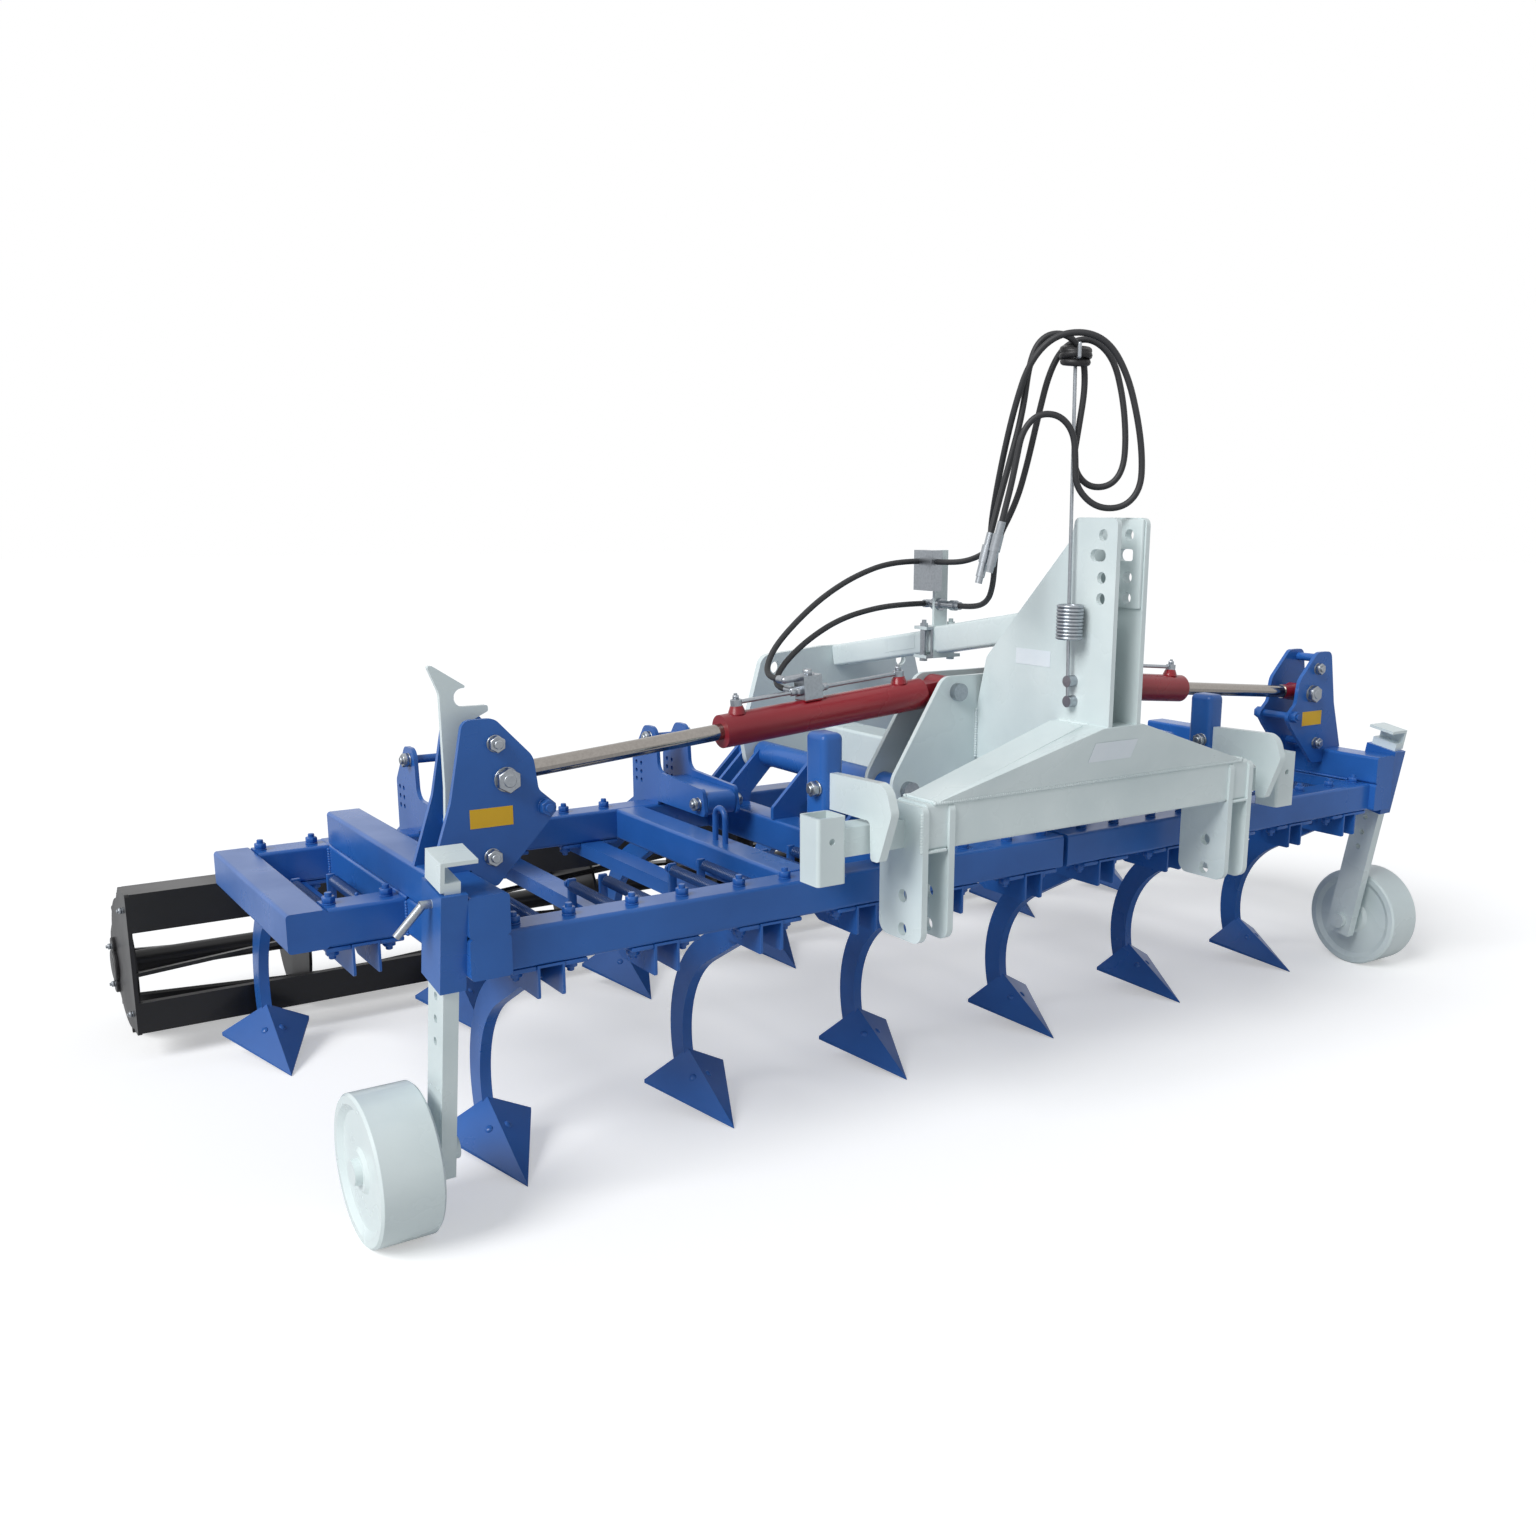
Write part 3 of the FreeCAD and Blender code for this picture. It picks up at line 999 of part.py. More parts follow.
def make_hose_rod():
    """Upright rod bolted to the left mast plate, with a coil in it and a crossbar on top."""
    radius, coil = S["hose_rod"] / 2, S["coil_radius"]
    x = -S["mast_gap"] / 2 - S["plate"] - bolt_head
    foot, knee, top = Vector(x, -199, 960), Vector(x, -191, 1150), Vector(x, -180, 1706)
    coil_low = knee.z - S["coil_turns"] * S["hose_rod"] * 0.475
    pieces = [bar_between(foot, Vector(x, -193, coil_low + radius), radius)]
    pieces.append(bar_between(Vector(x, -191, 2 * knee.z - coil_low - radius), top, radius))
    for y, z in ((-199, 972), (-197, 1017)):
        pieces.append(Part.makeCylinder(13, bolt_head + radius, Vector(x - radius, y, z), X_AXIS))
    across = Vector(0.579, 0.815, 0) * 52
    pieces.append(bar_between(top - across, top + across, radius))
    for end in (top - across, top + across):
        pieces.append(Part.makeSphere(radius, end))
        pieces.append(Part.makeCylinder(radius, 26, end))
        pieces.append(Part.makeSphere(radius, end + Z_AXIS * 26))
    axis = Vector(x - 0.63 * coil, -192 - 0.78 * coil, 0)
    for turn in range(int(S["coil_turns"])):
        high = coil_low + radius + turn * S["hose_rod"] * 0.95
        pieces.append(Part.makeTorus(coil, radius, axis + Z_AXIS * high))
    node("hose_rod", feature(pieces[0].fuse(pieces[1:])))


def make_hose_clamp():
    """Clamp on the mast strut with its upright, the hose clip box and the bulkhead fitting."""
    middle, deep = S["clamp_behind"], S["clamp_deep"]
    front = middle - deep / 2
    slope = (STRUT_STOP.z - STRUT_START.z) / (STRUT_STOP.y - STRUT_START.y)
    strut_high = STRUT_START.z + slope * (middle - STRUT_START.y)
    grip, thick = strut_radius + 2, 8

    def block(x, y, z):
        return Part.makeBox(x[1] - x[0], y[1] - y[0], z[1] - z[0], Vector(x[0], y[0], z[0]))

    top = strut_high + grip
    low = strut_high - grip
    pieces = [
        block((-56, 72), (front, front + deep), (top, top + thick)),
        block((-56, 56), (front, front + deep), (low - thick, low)),
        block((-15, 27), (middle - thick / 2, middle + thick / 2), (top, S["clip_low"] + S["clip_tall"])),
    ]
    for x in (-44, 44):
        pieces.append(Part.makeCylinder(6, 2 * grip + 5 * thick, Vector(x, middle, low - 2 * thick)))
        for high in (low - 2 * thick, top + thick):
            pieces.append(Part.makeCylinder(10, thick, Vector(x, middle, high)))
    for y in (front, front + deep - thick):
        saddle = block((-grip - 4, grip + 4), (y, y + thick), (low, top))
        pieces.append(saddle)
    clip = block((-49, -15), (318, 390), (S["clip_low"], S["clip_low"] + S["clip_tall"]))
    fitting_high = HOSES["hose_inner"][0][2]
    fitting = [
        Part.makeCylinder(radius, stop - start, Vector(0, start, fitting_high), Y_AXIS)
        for radius, start, stop in ((10, 262, 396), (15, 334, 346), (15, 354, 366), (13, 278, 296))
    ]
    elbow = Part.makeCylinder(10, 18, Vector(0, 385, fitting_high), -X_AXIS)
    strut = bar_between(STRUT_START, STRUT_STOP, strut_radius)
    node("hose_clamp", feature(pieces[0].fuse(pieces[1:] + [clip, elbow] + fitting).cut(strut)))


def hose_path(points):
    """A wire of straight runs joined by tangent arcs, each as large as its two runs allow."""
    corners = [Vector(*point) for point in points]
    edges, radii = [], []
    start = corners[0]
    for before, here, after in zip(corners, corners[1:], corners[2:]):
        back, on = before - here, after - here
        reach = 0.45 * min(back.Length, on.Length)
        half = back.getAngle(on) / 2
        middle = (back.normalize() + on.normalize()).normalize()
        radius = reach * math.tan(half)
        radii.append(radius)
        stop, crest = here + back * reach, here + middle * (reach / math.cos(half) - radius)
        edges.append(Part.LineSegment(start, stop).toShape())
        start = here + on * reach
        edges.append(Part.Arc(stop, crest, start).toShape())
    edges.append(Part.LineSegment(start, corners[-1]).toShape())
    return Part.Wire(edges), radii


def make_hoses():
    """The four hoses and the couplings on the free ends of the supply hoses."""
    for name, points in HOSES.items():
        path, radii = hose_path(points)
        first, second = (Vector(*point) for point in points[:2])
        ring = Part.Wire(Part.makeCircle(S["hose"] / 2, first, second - first))
        hose = path.makePipeShell([ring], True, False)
        expected = math.pi * S["hose"] ** 2 / 4 * path.Length
        print(f"{name}: {path.Length:.0f} long, volume {hose.Volume / expected:.4f} of section times length")
        print("  radii", " ".join(f"{radius:.0f}" for radius in radii))
        node(name, feature(hose))
    for name in ("outer", "inner"):
        before, end = (Vector(*point) for point in HOSES[f"hose_{name}"][-2:])
        along = (end - before).normalize()
        radius = S["coupling"] / 2
        steps = ((0, 28, radius - 3), (28, 66, radius), (66, 98, radius - 2), (98, 112, radius - 4))
        sections = [
            Part.makeCylinder(size, stop - start, end + along * start, along) for start, stop, size in steps
        ]
        node(f"coupling_{name}", feature(sections[0].fuse(sections[1:])))


make_headstock()
make_stand_sockets()
make_hose_rod()
make_hose_clamp()
make_hoses()
for wing in (LEFT, RIGHT):
    make_wing_frame(wing)
    make_cylinder_bracket(wing)
    make_lock_post(wing)
    make_tines(wing)
    make_roller_carriers(wing)
    make_roller_frame(wing)
    make_roller(wing)
    make_wheel(wing)
    make_fold_cylinder(wing)

doc.recompute()
for item in doc.Objects:
    if "Invalid" in item.State or "Error" in item.State:
        raise RuntimeError(f"{item.Label} ({item.Name}) failed: {item.State}")

os.makedirs("parts", exist_ok=True)
for whole in NODES:
    shape = whole.Shape
    if shape.isNull() or not shape.isValid() or not shape.Solids:
        raise RuntimeError(f"{whole.Label} has no valid solid")
    solids = shape.Solids
    kept = solids[0] if len(solids) == 1 else Part.makeCompound(solids)
    kept.exportStep(f"parts/{whole.Label}.step")
    print(f"{whole.Label}: {len(solids)} solids, {shape.Volume / 1e6:.2f} litres")
print(len(NODES), "nodes")
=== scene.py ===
# %% [markdown]
# # A folding cultivator, dressed for a studio picture
#
# The object is a farm implement: a white headstock that hangs on a tractor's three-point linkage,
# two blue wings that fold upward on it, thirteen sprung tines with duckfoot shares, two support
# wheels and two black cage rollers. Its steel parts come from a CAD model that is loaded as a fixed
# frame, so every plate, tube and pin already has its true size. What is left for Blender is what
# gives the eye the real thing: enamel, chrome and zinc, coil springs, hoses, bolts and weld beads.

# %% Load the frame
import math

import bpy
from mathutils import Matrix, Vector


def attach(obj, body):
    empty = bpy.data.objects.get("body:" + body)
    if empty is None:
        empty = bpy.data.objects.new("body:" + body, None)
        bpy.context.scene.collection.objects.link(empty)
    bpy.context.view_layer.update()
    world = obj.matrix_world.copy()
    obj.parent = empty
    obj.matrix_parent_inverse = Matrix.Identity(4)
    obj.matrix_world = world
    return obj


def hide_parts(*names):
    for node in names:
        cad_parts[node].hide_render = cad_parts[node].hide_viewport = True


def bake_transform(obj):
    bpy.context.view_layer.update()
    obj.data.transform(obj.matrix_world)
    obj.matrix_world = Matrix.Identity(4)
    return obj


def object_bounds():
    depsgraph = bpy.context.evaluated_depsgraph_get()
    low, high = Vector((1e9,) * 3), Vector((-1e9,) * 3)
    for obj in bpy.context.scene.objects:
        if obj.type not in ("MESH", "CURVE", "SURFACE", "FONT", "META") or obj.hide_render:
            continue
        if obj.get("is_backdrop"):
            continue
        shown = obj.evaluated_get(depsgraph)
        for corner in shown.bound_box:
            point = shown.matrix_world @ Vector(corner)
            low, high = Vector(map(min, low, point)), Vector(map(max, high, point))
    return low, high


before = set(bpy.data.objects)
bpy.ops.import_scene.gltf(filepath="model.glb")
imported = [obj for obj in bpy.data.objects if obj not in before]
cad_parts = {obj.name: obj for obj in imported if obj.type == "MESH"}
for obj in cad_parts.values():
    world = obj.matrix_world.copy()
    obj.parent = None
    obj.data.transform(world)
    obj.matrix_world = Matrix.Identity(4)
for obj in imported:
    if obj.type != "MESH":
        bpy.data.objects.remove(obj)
cad_low, cad_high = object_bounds()
print("nodes", len(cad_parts), "size", [round(c, 3) for c in cad_high - cad_low])
bpy.ops.object.select_all(action="DESELECT")

MM = 0.001
SIDES = {"left": -1, "right": 1}

# %% [markdown]
# ## The camera
#
# A picture taken from knee height looks different from one taken from a ladder, so the camera comes
# first and everything after is judged through it. The lens, place and tilt below were worked out
# from straight lines of the photograph: parallel beams that meet at vanishing points give the
# focal length, and the known tine spacing gives the distance. A small shift keeps the object where
# it stands in the picture without turning the camera.

# %% Place the camera
PICTURE = 1536
FOCAL_PIXELS = 1404.3
CENTRE_U, CENTRE_V = 846.1, 812.2
camera_data = bpy.data.cameras.new("studio_camera")
camera_data.sensor_width = 36
camera_data.lens = camera_data.sensor_width * FOCAL_PIXELS / PICTURE
camera_data.shift_x = -(CENTRE_U - PICTURE / 2) / PICTURE
camera_data.shift_y = (CENTRE_V - PICTURE / 2) / PICTURE
camera = bpy.data.objects.new("studio_camera", camera_data)
bpy.context.scene.collection.objects.link(camera)
camera.location = (-2.283, -2.455, 1.383)
camera.rotation_euler = (math.radians(90 - 12.08), math.radians(-0.47), math.radians(-35.40))
bpy.context.scene.camera = camera
print("lens", round(camera_data.lens, 2), "mm")

# %% [markdown]
# ## A word on materials
#
# Blender works with linear light, while colours read off a picture are sRGB. One function turns a
# hex code into linear numbers, and one more adds a node with its settings and its links, so that
# each material reads as a short recipe. Patterns take their size from real millimetres, because
# Object coordinates are metres here.

# %% Two helpers for materials
def hex_colour(code):
    """sRGB hex code to linear RGBA."""
    parts = [int(code[i:i + 2], 16) / 255 for i in (1, 3, 5)]
    linear = [c / 12.92 if c <= 0.04045 else ((c + 0.055) / 1.055) ** 2.4 for c in parts]
    return (*linear, 1)


def add_node(tree, kind, settings=None, inputs=None, links=None):
    """A node with its own settings, its sockets' values, and links from other outputs."""
    made = tree.nodes.new(kind)
    for name, value in (settings or {}).items():
        setattr(made, name, value)
    for name, value in (inputs or {}).items():
        made.inputs[name].default_value = value
    for name, source in (links or {}).items():
        tree.links.new(source, made.inputs[name])
    return made


def fresh_material(name):
    """A material with an empty node tree, and its output node."""
    made = bpy.data.materials.new(name)
    made.use_nodes = True
    made.node_tree.nodes.clear()
    return made, made.node_tree, add_node(made.node_tree, "ShaderNodeOutputMaterial")


# %% [markdown]
# ## Sprayed enamel
#
# The frame is steel sprayed with thick gloss enamel. Three things tell the eye so: a clear,
# slightly soft highlight; "orange peel", the low waves a few millimetres wide that sprayed paint
# leaves; and a colour that varies a little, where the coat is thicker or has some dust on it. A
# noise texture at two sizes gives both, one into the bump and one into the colour. Vinyl labels
# and rubber tape have the same build with less gloss.

# %% Enamel and vinyl
PATCH_MM, PEEL_MM = 240, 5


def sprayed_enamel(name, colour, shade, roughness):
    """Gloss paint on steel: orange peel 5 mm wide and patches a hand wide."""
    material, tree, output = fresh_material(name)
    place = add_node(tree, "ShaderNodeTexCoord").outputs["Object"]
    patches = add_node(
        tree, "ShaderNodeTexNoise", None, {"Scale": 1 / (PATCH_MM * MM), "Detail": 5.0},
        {"Vector": place}).outputs["Fac"]
    tone = add_node(
        tree, "ShaderNodeMapRange", None,
        {"From Min": 0.35, "From Max": 0.7, "To Min": 0, "To Max": 1}, {"Value": patches})
    paint = add_node(
        tree, "ShaderNodeMix", {"data_type": "RGBA"},
        {6: hex_colour(colour), 7: hex_colour(shade)}, {"Factor": tone.outputs["Result"]})
    gloss = add_node(
        tree, "ShaderNodeMapRange", None,
        {"From Min": 0.3, "From Max": 0.7, "To Min": roughness - 0.05, "To Max": roughness + 0.1},
        {"Value": patches})
    peel = add_node(
        tree, "ShaderNodeTexNoise", None, {"Scale": 1 / (PEEL_MM * MM), "Detail": 2.0},
        {"Vector": place})
    waves = add_node(
        tree, "ShaderNodeBump", None, {"Strength": 0.18, "Distance": 0.4 * MM},
        {"Height": peel.outputs["Fac"]})
    surface = add_node(
        tree, "ShaderNodeBsdfPrincipled", None,
        {"IOR": 1.5, "Specular IOR Level": 0.35, "Coat Weight": 0.1, "Coat Roughness": 0.12},
        {
            "Base Color": paint.outputs[2], "Roughness": gloss.outputs["Result"],
            "Normal": waves.outputs["Normal"],
        })
    tree.links.new(surface.outputs["BSDF"], output.inputs["Surface"])
    return material


white_enamel = sprayed_enamel("white_gloss_enamel", "#dfeaea", "#cfdcdd", 0.26)
blue_enamel = sprayed_enamel("blue_gloss_enamel", "#2c66b4", "#24589f", 0.28)
black_enamel = sprayed_enamel("black_semi_gloss_enamel", "#17171a", "#201f21", 0.38)
red_enamel = sprayed_enamel("red_gloss_enamel", "#97202b", "#851b27", 0.26)
yellow_label = sprayed_enamel("yellow_vinyl_label", "#e8b820", "#dcaa1c", 0.35)
pale_label = sprayed_enamel("pale_vinyl_label", "#eef3f6", "#dbe6ee", 0.35)
black_tape = sprayed_enamel("black_binding_tape", "#1c1c1e", "#2a2a2c", 0.45)
spring_paint = sprayed_enamel("blue_enamel_over_spring_steel", "#25508f", "#1b3d72", 0.34)

# %% [markdown]
# ## Zinc plate
#
# Bolts, pins, couplings and oil pipes are zinc plated: a little bluish, cloudy and only half
# bright. It is a metal, so its colour sits in the reflection, and one fine noise moves colour and
# gloss together, as the plating's grain does.

# %% Zinc
ZINC = ("#b6bbc1", "#8f959b")
GRAIN_MM = 6
zinc_plate, tree, output = fresh_material("zinc_plated_steel")
grain = add_node(
    tree, "ShaderNodeTexNoise", None, {"Scale": 1 / (GRAIN_MM * MM), "Detail": 3.0},
    {"Vector": add_node(tree, "ShaderNodeTexCoord").outputs["Object"]}).outputs["Fac"]
cloud = add_node(
    tree, "ShaderNodeMix", {"data_type": "RGBA"},
    {6: hex_colour(ZINC[0]), 7: hex_colour(ZINC[1])}, {"Factor": grain})
gloss = add_node(
    tree, "ShaderNodeMapRange", None,
    {"From Min": 0.0, "From Max": 1.0, "To Min": 0.24, "To Max": 0.40}, {"Value": grain})
surface = add_node(
    tree, "ShaderNodeBsdfPrincipled", None, {"Metallic": 1.0},
    {"Base Color": cloud.outputs[2], "Roughness": gloss.outputs["Result"]})
tree.links.new(surface.outputs["BSDF"], output.inputs["Surface"])

# %% [markdown]
# ## One node, two finishes
#
# Some steel parts leave the paint shop half masked. The rod of a fold cylinder is hard chrome,
# ground and polished, and its eye is red up to the chrome. The barrel carries a bare zinc block,
# and the wheel post has a zinc pin through its white bar. The CAD keeps each as one node, so the
# border is drawn in the material: a place is bright where it lies between two planes, for each of
# a few directions, and painted elsewhere.

# %% Paint with a masked part
def masked_part(name, paint, metal, slabs, rough_paint=0.28, rough_metal=0.3):
    """Enamel, and bare metal where a place lies inside every slab of one of the groups.

    A slab is a direction with its lowest and highest distance in millimetres.
    """
    material, tree, output = fresh_material(name)
    place = add_node(tree, "ShaderNodeTexCoord").outputs["Object"]
    inside = None
    for group in slabs:
        share = None
        for direction, low, high in group:
            along = add_node(
                tree, "ShaderNodeVectorMath", {"operation": "DOT_PRODUCT"},
                {1: direction}, {0: place})
            for operation, limit in (("GREATER_THAN", low), ("LESS_THAN", high)):
                test = add_node(
                    tree, "ShaderNodeMath", {"operation": operation}, {1: limit * MM},
                    {0: along.outputs["Value"]})
                if share:
                    test = add_node(
                        tree, "ShaderNodeMath", {"operation": "MINIMUM"}, None,
                        {0: share, 1: test.outputs["Value"]})
                share = test.outputs["Value"]
        if inside:
            share = add_node(
                tree, "ShaderNodeMath", {"operation": "MAXIMUM"}, None,
                {0: inside, 1: share}).outputs["Value"]
        inside = share
    patches, grain = [
        add_node(
            tree, "ShaderNodeTexNoise", None, {"Scale": 1 / (size_mm * MM), "Detail": detail},
            {"Vector": place}).outputs["Fac"]
        for size_mm, detail in ((PATCH_MM, 5.0), (GRAIN_MM, 3.0))]
    tone, paint_gloss, metal_gloss = [
        add_node(
            tree, "ShaderNodeMapRange", None,
            {"From Min": from_low, "From Max": from_high, "To Min": to_low, "To Max": to_high},
            {"Value": value}).outputs["Result"]
        for value, from_low, from_high, to_low, to_high in (
            (patches, 0.35, 0.7, 0, 1),
            (patches, 0.3, 0.7, rough_paint - 0.05, rough_paint + 0.1),
            (grain, 0, 1, rough_metal - 0.06, rough_metal + 0.08))]
    painted, bright = [
        add_node(
            tree, "ShaderNodeMix", {"data_type": "RGBA"},
            {6: hex_colour(pair[0]), 7: hex_colour(pair[1])}, {"Factor": factor}).outputs[2]
        for pair, factor in ((paint, tone), (metal, grain))]
    colour = add_node(
        tree, "ShaderNodeMix", {"data_type": "RGBA"}, None,
        {"Factor": inside, 6: painted, 7: bright})
    gloss = add_node(
        tree, "ShaderNodeMix", {"data_type": "FLOAT"}, None,
        {"Factor": inside, 2: paint_gloss, 3: metal_gloss})
    surface = add_node(
        tree, "ShaderNodeBsdfPrincipled", None, None,
        {"Base Color": colour.outputs[2], "Roughness": gloss.outputs[0], "Metallic": inside})
    tree.links.new(surface.outputs["BSDF"], output.inputs["Surface"])
    return material


RED, WHITE, BLUE = ("#97202b", "#851b27"), ("#dfeaea", "#cfdcdd"), ("#2c66b4", "#24589f")
# The dark metal pair stands for painted shade on the underside of the shares.
CHROME, PAINTED_SHADE_METAL = ("#a8a39e", "#8d8883"), ("#1b2130", "#4a505c")
RAM_BASE, RAM_EYE = Vector((116, 186, 962)), Vector((1257, 186, 865))
RAM_LINE = (RAM_EYE - RAM_BASE).normalized()
EVERYWHERE = 9000


def ram_frame(side):
    """The directions along and above a fold cylinder, and where its base pin lies on them."""
    along = Vector((side * RAM_LINE.x, 0, RAM_LINE.z))
    above = Vector((-side * RAM_LINE.z, 0, RAM_LINE.x))
    base = Vector((side * RAM_BASE.x, RAM_BASE.y, RAM_BASE.z))
    return along, above, base


def ram_slab(side, along_low, along_high, above_low, above_high):
    """The slabs of a stretch along and above a fold cylinder."""
    along, above, base = ram_frame(side)
    return [
        (along, along_low + along @ base, along_high + along @ base),
        (above, above_low + above @ base, above_high + above @ base),
    ]


barrel_finish, rod_finish, post_finish = {}, {}, {}
for name, side in SIDES.items():
    barrel_finish[name] = masked_part(
        f"red_barrel_with_zinc_block_{name}", RED, ZINC, [ram_slab(side, 345, 500, 38, 200)])
    rod_finish[name] = masked_part(
        f"chromed_rod_with_red_eye_{name}", RED, CHROME,
        [ram_slab(side, -EVERYWHERE, 1077, -EVERYWHERE, EVERYWHERE)], 0.26, 0.10)
    post_finish[name] = masked_part(
        f"white_post_with_zinc_pin_{name}", WHITE, ZINC,
        [[(Vector((side, 0, 0)), 1466, EVERYWHERE), (Vector((0, 0, 1)), 400, EVERYWHERE)]])
clamp_finish = masked_part(
    "white_clamp_with_zinc_clip", WHITE, ZINC,
    [
        [((1, 0, 0), -60, -14.5), ((0, 0, 1), 1189, 1300)],
        [((0, 0, 1), 1136, 1174), ((0, 1, 0), 200, 345.5)],
        [((0, 0, 1), 1136, 1174), ((0, 1, 0), 354.5, 420)],
        [((0, 0, 1), 900, 1120), ((1, 0, 0), -55, -33)],
    ])
# The shares are blue with a dark metal below 0.4 mm: painted shade on their underside.
share_with_painted_shade = masked_part(
    "blue_share_with_painted_shade_underside", BLUE, PAINTED_SHADE_METAL, [[((0, 0, 1), -10, 0.4)]], 0.3, 0.3)

# %% [markdown]
# ## Hose rubber
#
# A hydraulic hose has a black rubber cover over a steel braid. The cover is matt, with a fine cloth
# print left from its curing wrap, which is far too small to see from here, so a soft bump stands
# for it.

# %% Hose rubber
hose_rubber, tree, output = fresh_material("matt_hose_rubber")
place = add_node(tree, "ShaderNodeTexCoord").outputs["Object"]
CLOTH_MM = 3
print_marks = add_node(
    tree, "ShaderNodeTexNoise", None, {"Scale": 1 / (CLOTH_MM * MM), "Detail": 2.0},
    {"Vector": place})
bump = add_node(
    tree, "ShaderNodeBump", None, {"Strength": 0.3, "Distance": 0.4 * MM},
    {"Height": print_marks.outputs["Fac"]})
rubber = add_node(
    tree, "ShaderNodeBsdfPrincipled", None,
    {"Base Color": hex_colour("#26272a"), "Roughness": 0.55, "IOR": 1.5},
    {"Normal": bump.outputs["Normal"]})
tree.links.new(rubber.outputs["BSDF"], output.inputs["Surface"])

# %% [markdown]
# ## Paint the frame
#
# Each CAD node is one piece of steel from one paint shop, so a table of name beginnings and
# finishes is enough. The shade of small parts follows the photograph: white headstock, claws,
# posts and wheels, blue wings, tines and shares, black rollers, red barrels.

# %% Give every CAD node its finish
FINISHES = (
    ("headstock_pins", zinc_plate), ("hose_rod", zinc_plate), ("coupling", zinc_plate),
    ("hose_outer", hose_rubber), ("hose_inner", hose_rubber), ("hose_ram", hose_rubber),
    ("ram_barrel_left", barrel_finish["left"]), ("ram_barrel_right", barrel_finish["right"]),
    ("ram_rod_left", rod_finish["left"]), ("ram_rod_right", rod_finish["right"]),
    ("wheel_post_left", post_finish["left"]), ("wheel_post_right", post_finish["right"]),
    ("hose_clamp", clamp_finish), ("tine_shares", share_with_painted_shade), ("ram_bracket", blue_enamel),
    ("roller_brackets", blue_enamel), ("roller_arms", blue_enamel), ("roller", black_enamel),
    ("lock_claw", white_enamel), ("lock_post", blue_enamel), ("tine_springs", blue_enamel),
    ("tine", blue_enamel), ("beams", blue_enamel), ("rails", blue_enamel),
    ("hinge_knuckles", blue_enamel), ("lifting_loop", blue_enamel), ("post_sleeve", blue_enamel),
)
for name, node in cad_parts.items():
    finish = next(
        (material for start, material in FINISHES if name.startswith(start)), white_enamel)
    node.data.materials.clear()
    node.data.materials.append(finish)
print("painted", len(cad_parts), "nodes")

# %% [markdown]
# ## Hoses
#
# The two supply hoses are put away over a rod with a crossbar, in two loops, and their couplings
# hang beside the mast. Two more hoses go from the clamp on the strut to the left fold cylinder.
# A hose has one diameter and a fixed length, so each is one smooth NURBS line with a round bevel.
# The points are the route's corners: the line is drawn towards them and rounds them off, as a
# stiff hose does.

# %% Draw a hose along its route
HOSE_DIAMETER = 14 * MM


def route_curve(name, points, radius):
    """A curve object: one open NURBS spline with the route's corners as control points."""
    data = bpy.data.curves.new(name, "CURVE")
    data.dimensions = "3D"
    data.bevel_depth = radius
    data.bevel_resolution = 4
    data.resolution_u = 8
    data.use_fill_caps = True
    spline = data.splines.new("NURBS")
    spline.points.add(len(points) - 1)
    for point, corner in zip(spline.points, points):
        point.co = (*(c * MM for c in corner), 1)
    spline.order_u = 3
    spline.use_endpoint_u = True
    made = bpy.data.objects.new(name, data)
    bpy.context.scene.collection.objects.link(made)
    return made


SUPPLY_ROUTES = {
    "outer": [
        (-30, 318, 1262), (-30, 260, 1262), (-35, 190, 1270), (-50, 115, 1290),
        (-95, 45, 1310), (-145, -10, 1350), (-170, -50, 1415), (-175, -80, 1510),
        (-175, -110, 1605), (-165, -140, 1695), (-130, -175, 1750), (-75, -215, 1760),
        (-30, -245, 1735), (5, -265, 1670), (25, -280, 1585), (40, -285, 1505),
        (40, -285, 1435), (10, -265, 1395), (-40, -230, 1395), (-78, -205, 1440),
        (-81, -206, 1497), (-87, -203, 1555), (-115, -185, 1590), (-155, -160, 1590),
        (-180, -142, 1553), (-186, -134, 1495), (-193, -127, 1440), (-199, -120, 1400),
        (-205, -115, 1365),
    ],
    "inner": [
        (0, 262, 1155), (0, 202, 1155), (-15, 140, 1175), (-50, 85, 1215),
        (-95, 30, 1260), (-135, -20, 1320), (-125, -70, 1405), (-115, -90, 1485),
        (-105, -110, 1590), (-90, -125, 1685), (-65, -145, 1740), (-20, -175, 1755),
        (20, -205, 1715), (35, -225, 1630), (40, -235, 1540), (35, -235, 1475),
        (10, -220, 1440), (-30, -190, 1440), (-60, -175, 1485), (-50, -180, 1565),
        (-45, -190, 1650), (-55, -190, 1715), (-80, -172, 1757), (-122, -142, 1757),
        (-147, -124, 1712), (-155, -115, 1595), (-175, -100, 1490), (-190, -85, 1405),
        (-205, -80, 1340),
    ],
}

for name, points in SUPPLY_ROUTES.items():
    hose = route_curve(f"supply_hose_{name}", points, HOSE_DIAMETER / 2)
    hose.data.materials.append(hose_rubber)
    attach(hose, "headstock")
    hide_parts(f"hose_{name}")

# %% [markdown]
# ## Hoses to the fold cylinder
#
# The ram hoses have one end on the clamp and one on the barrel, which swings. Each is a mesh tube
# made from the same kind of curve, and its path is read from a copy with no bevel.

# %% Ram hoses as mesh tubes
RAM_ROUTES = {
    "upper": [
        (-49, 375, 1262), (-130, 375, 1262), (-250, 360, 1232), (-365, 335, 1185),
        (-460, 312, 1128), (-528, 300, 1072), (-562, 280, 1028), (-572, 245, 1012),
        (-572, 210, 1012),
    ],
    "lower": [
        (-18, 385, 1155), (-85, 385, 1155), (-195, 360, 1150), (-315, 335, 1130),
        (-415, 312, 1092), (-490, 300, 1045), (-535, 282, 1005), (-552, 245, 988),
        (-552, 210, 988),
    ],
}


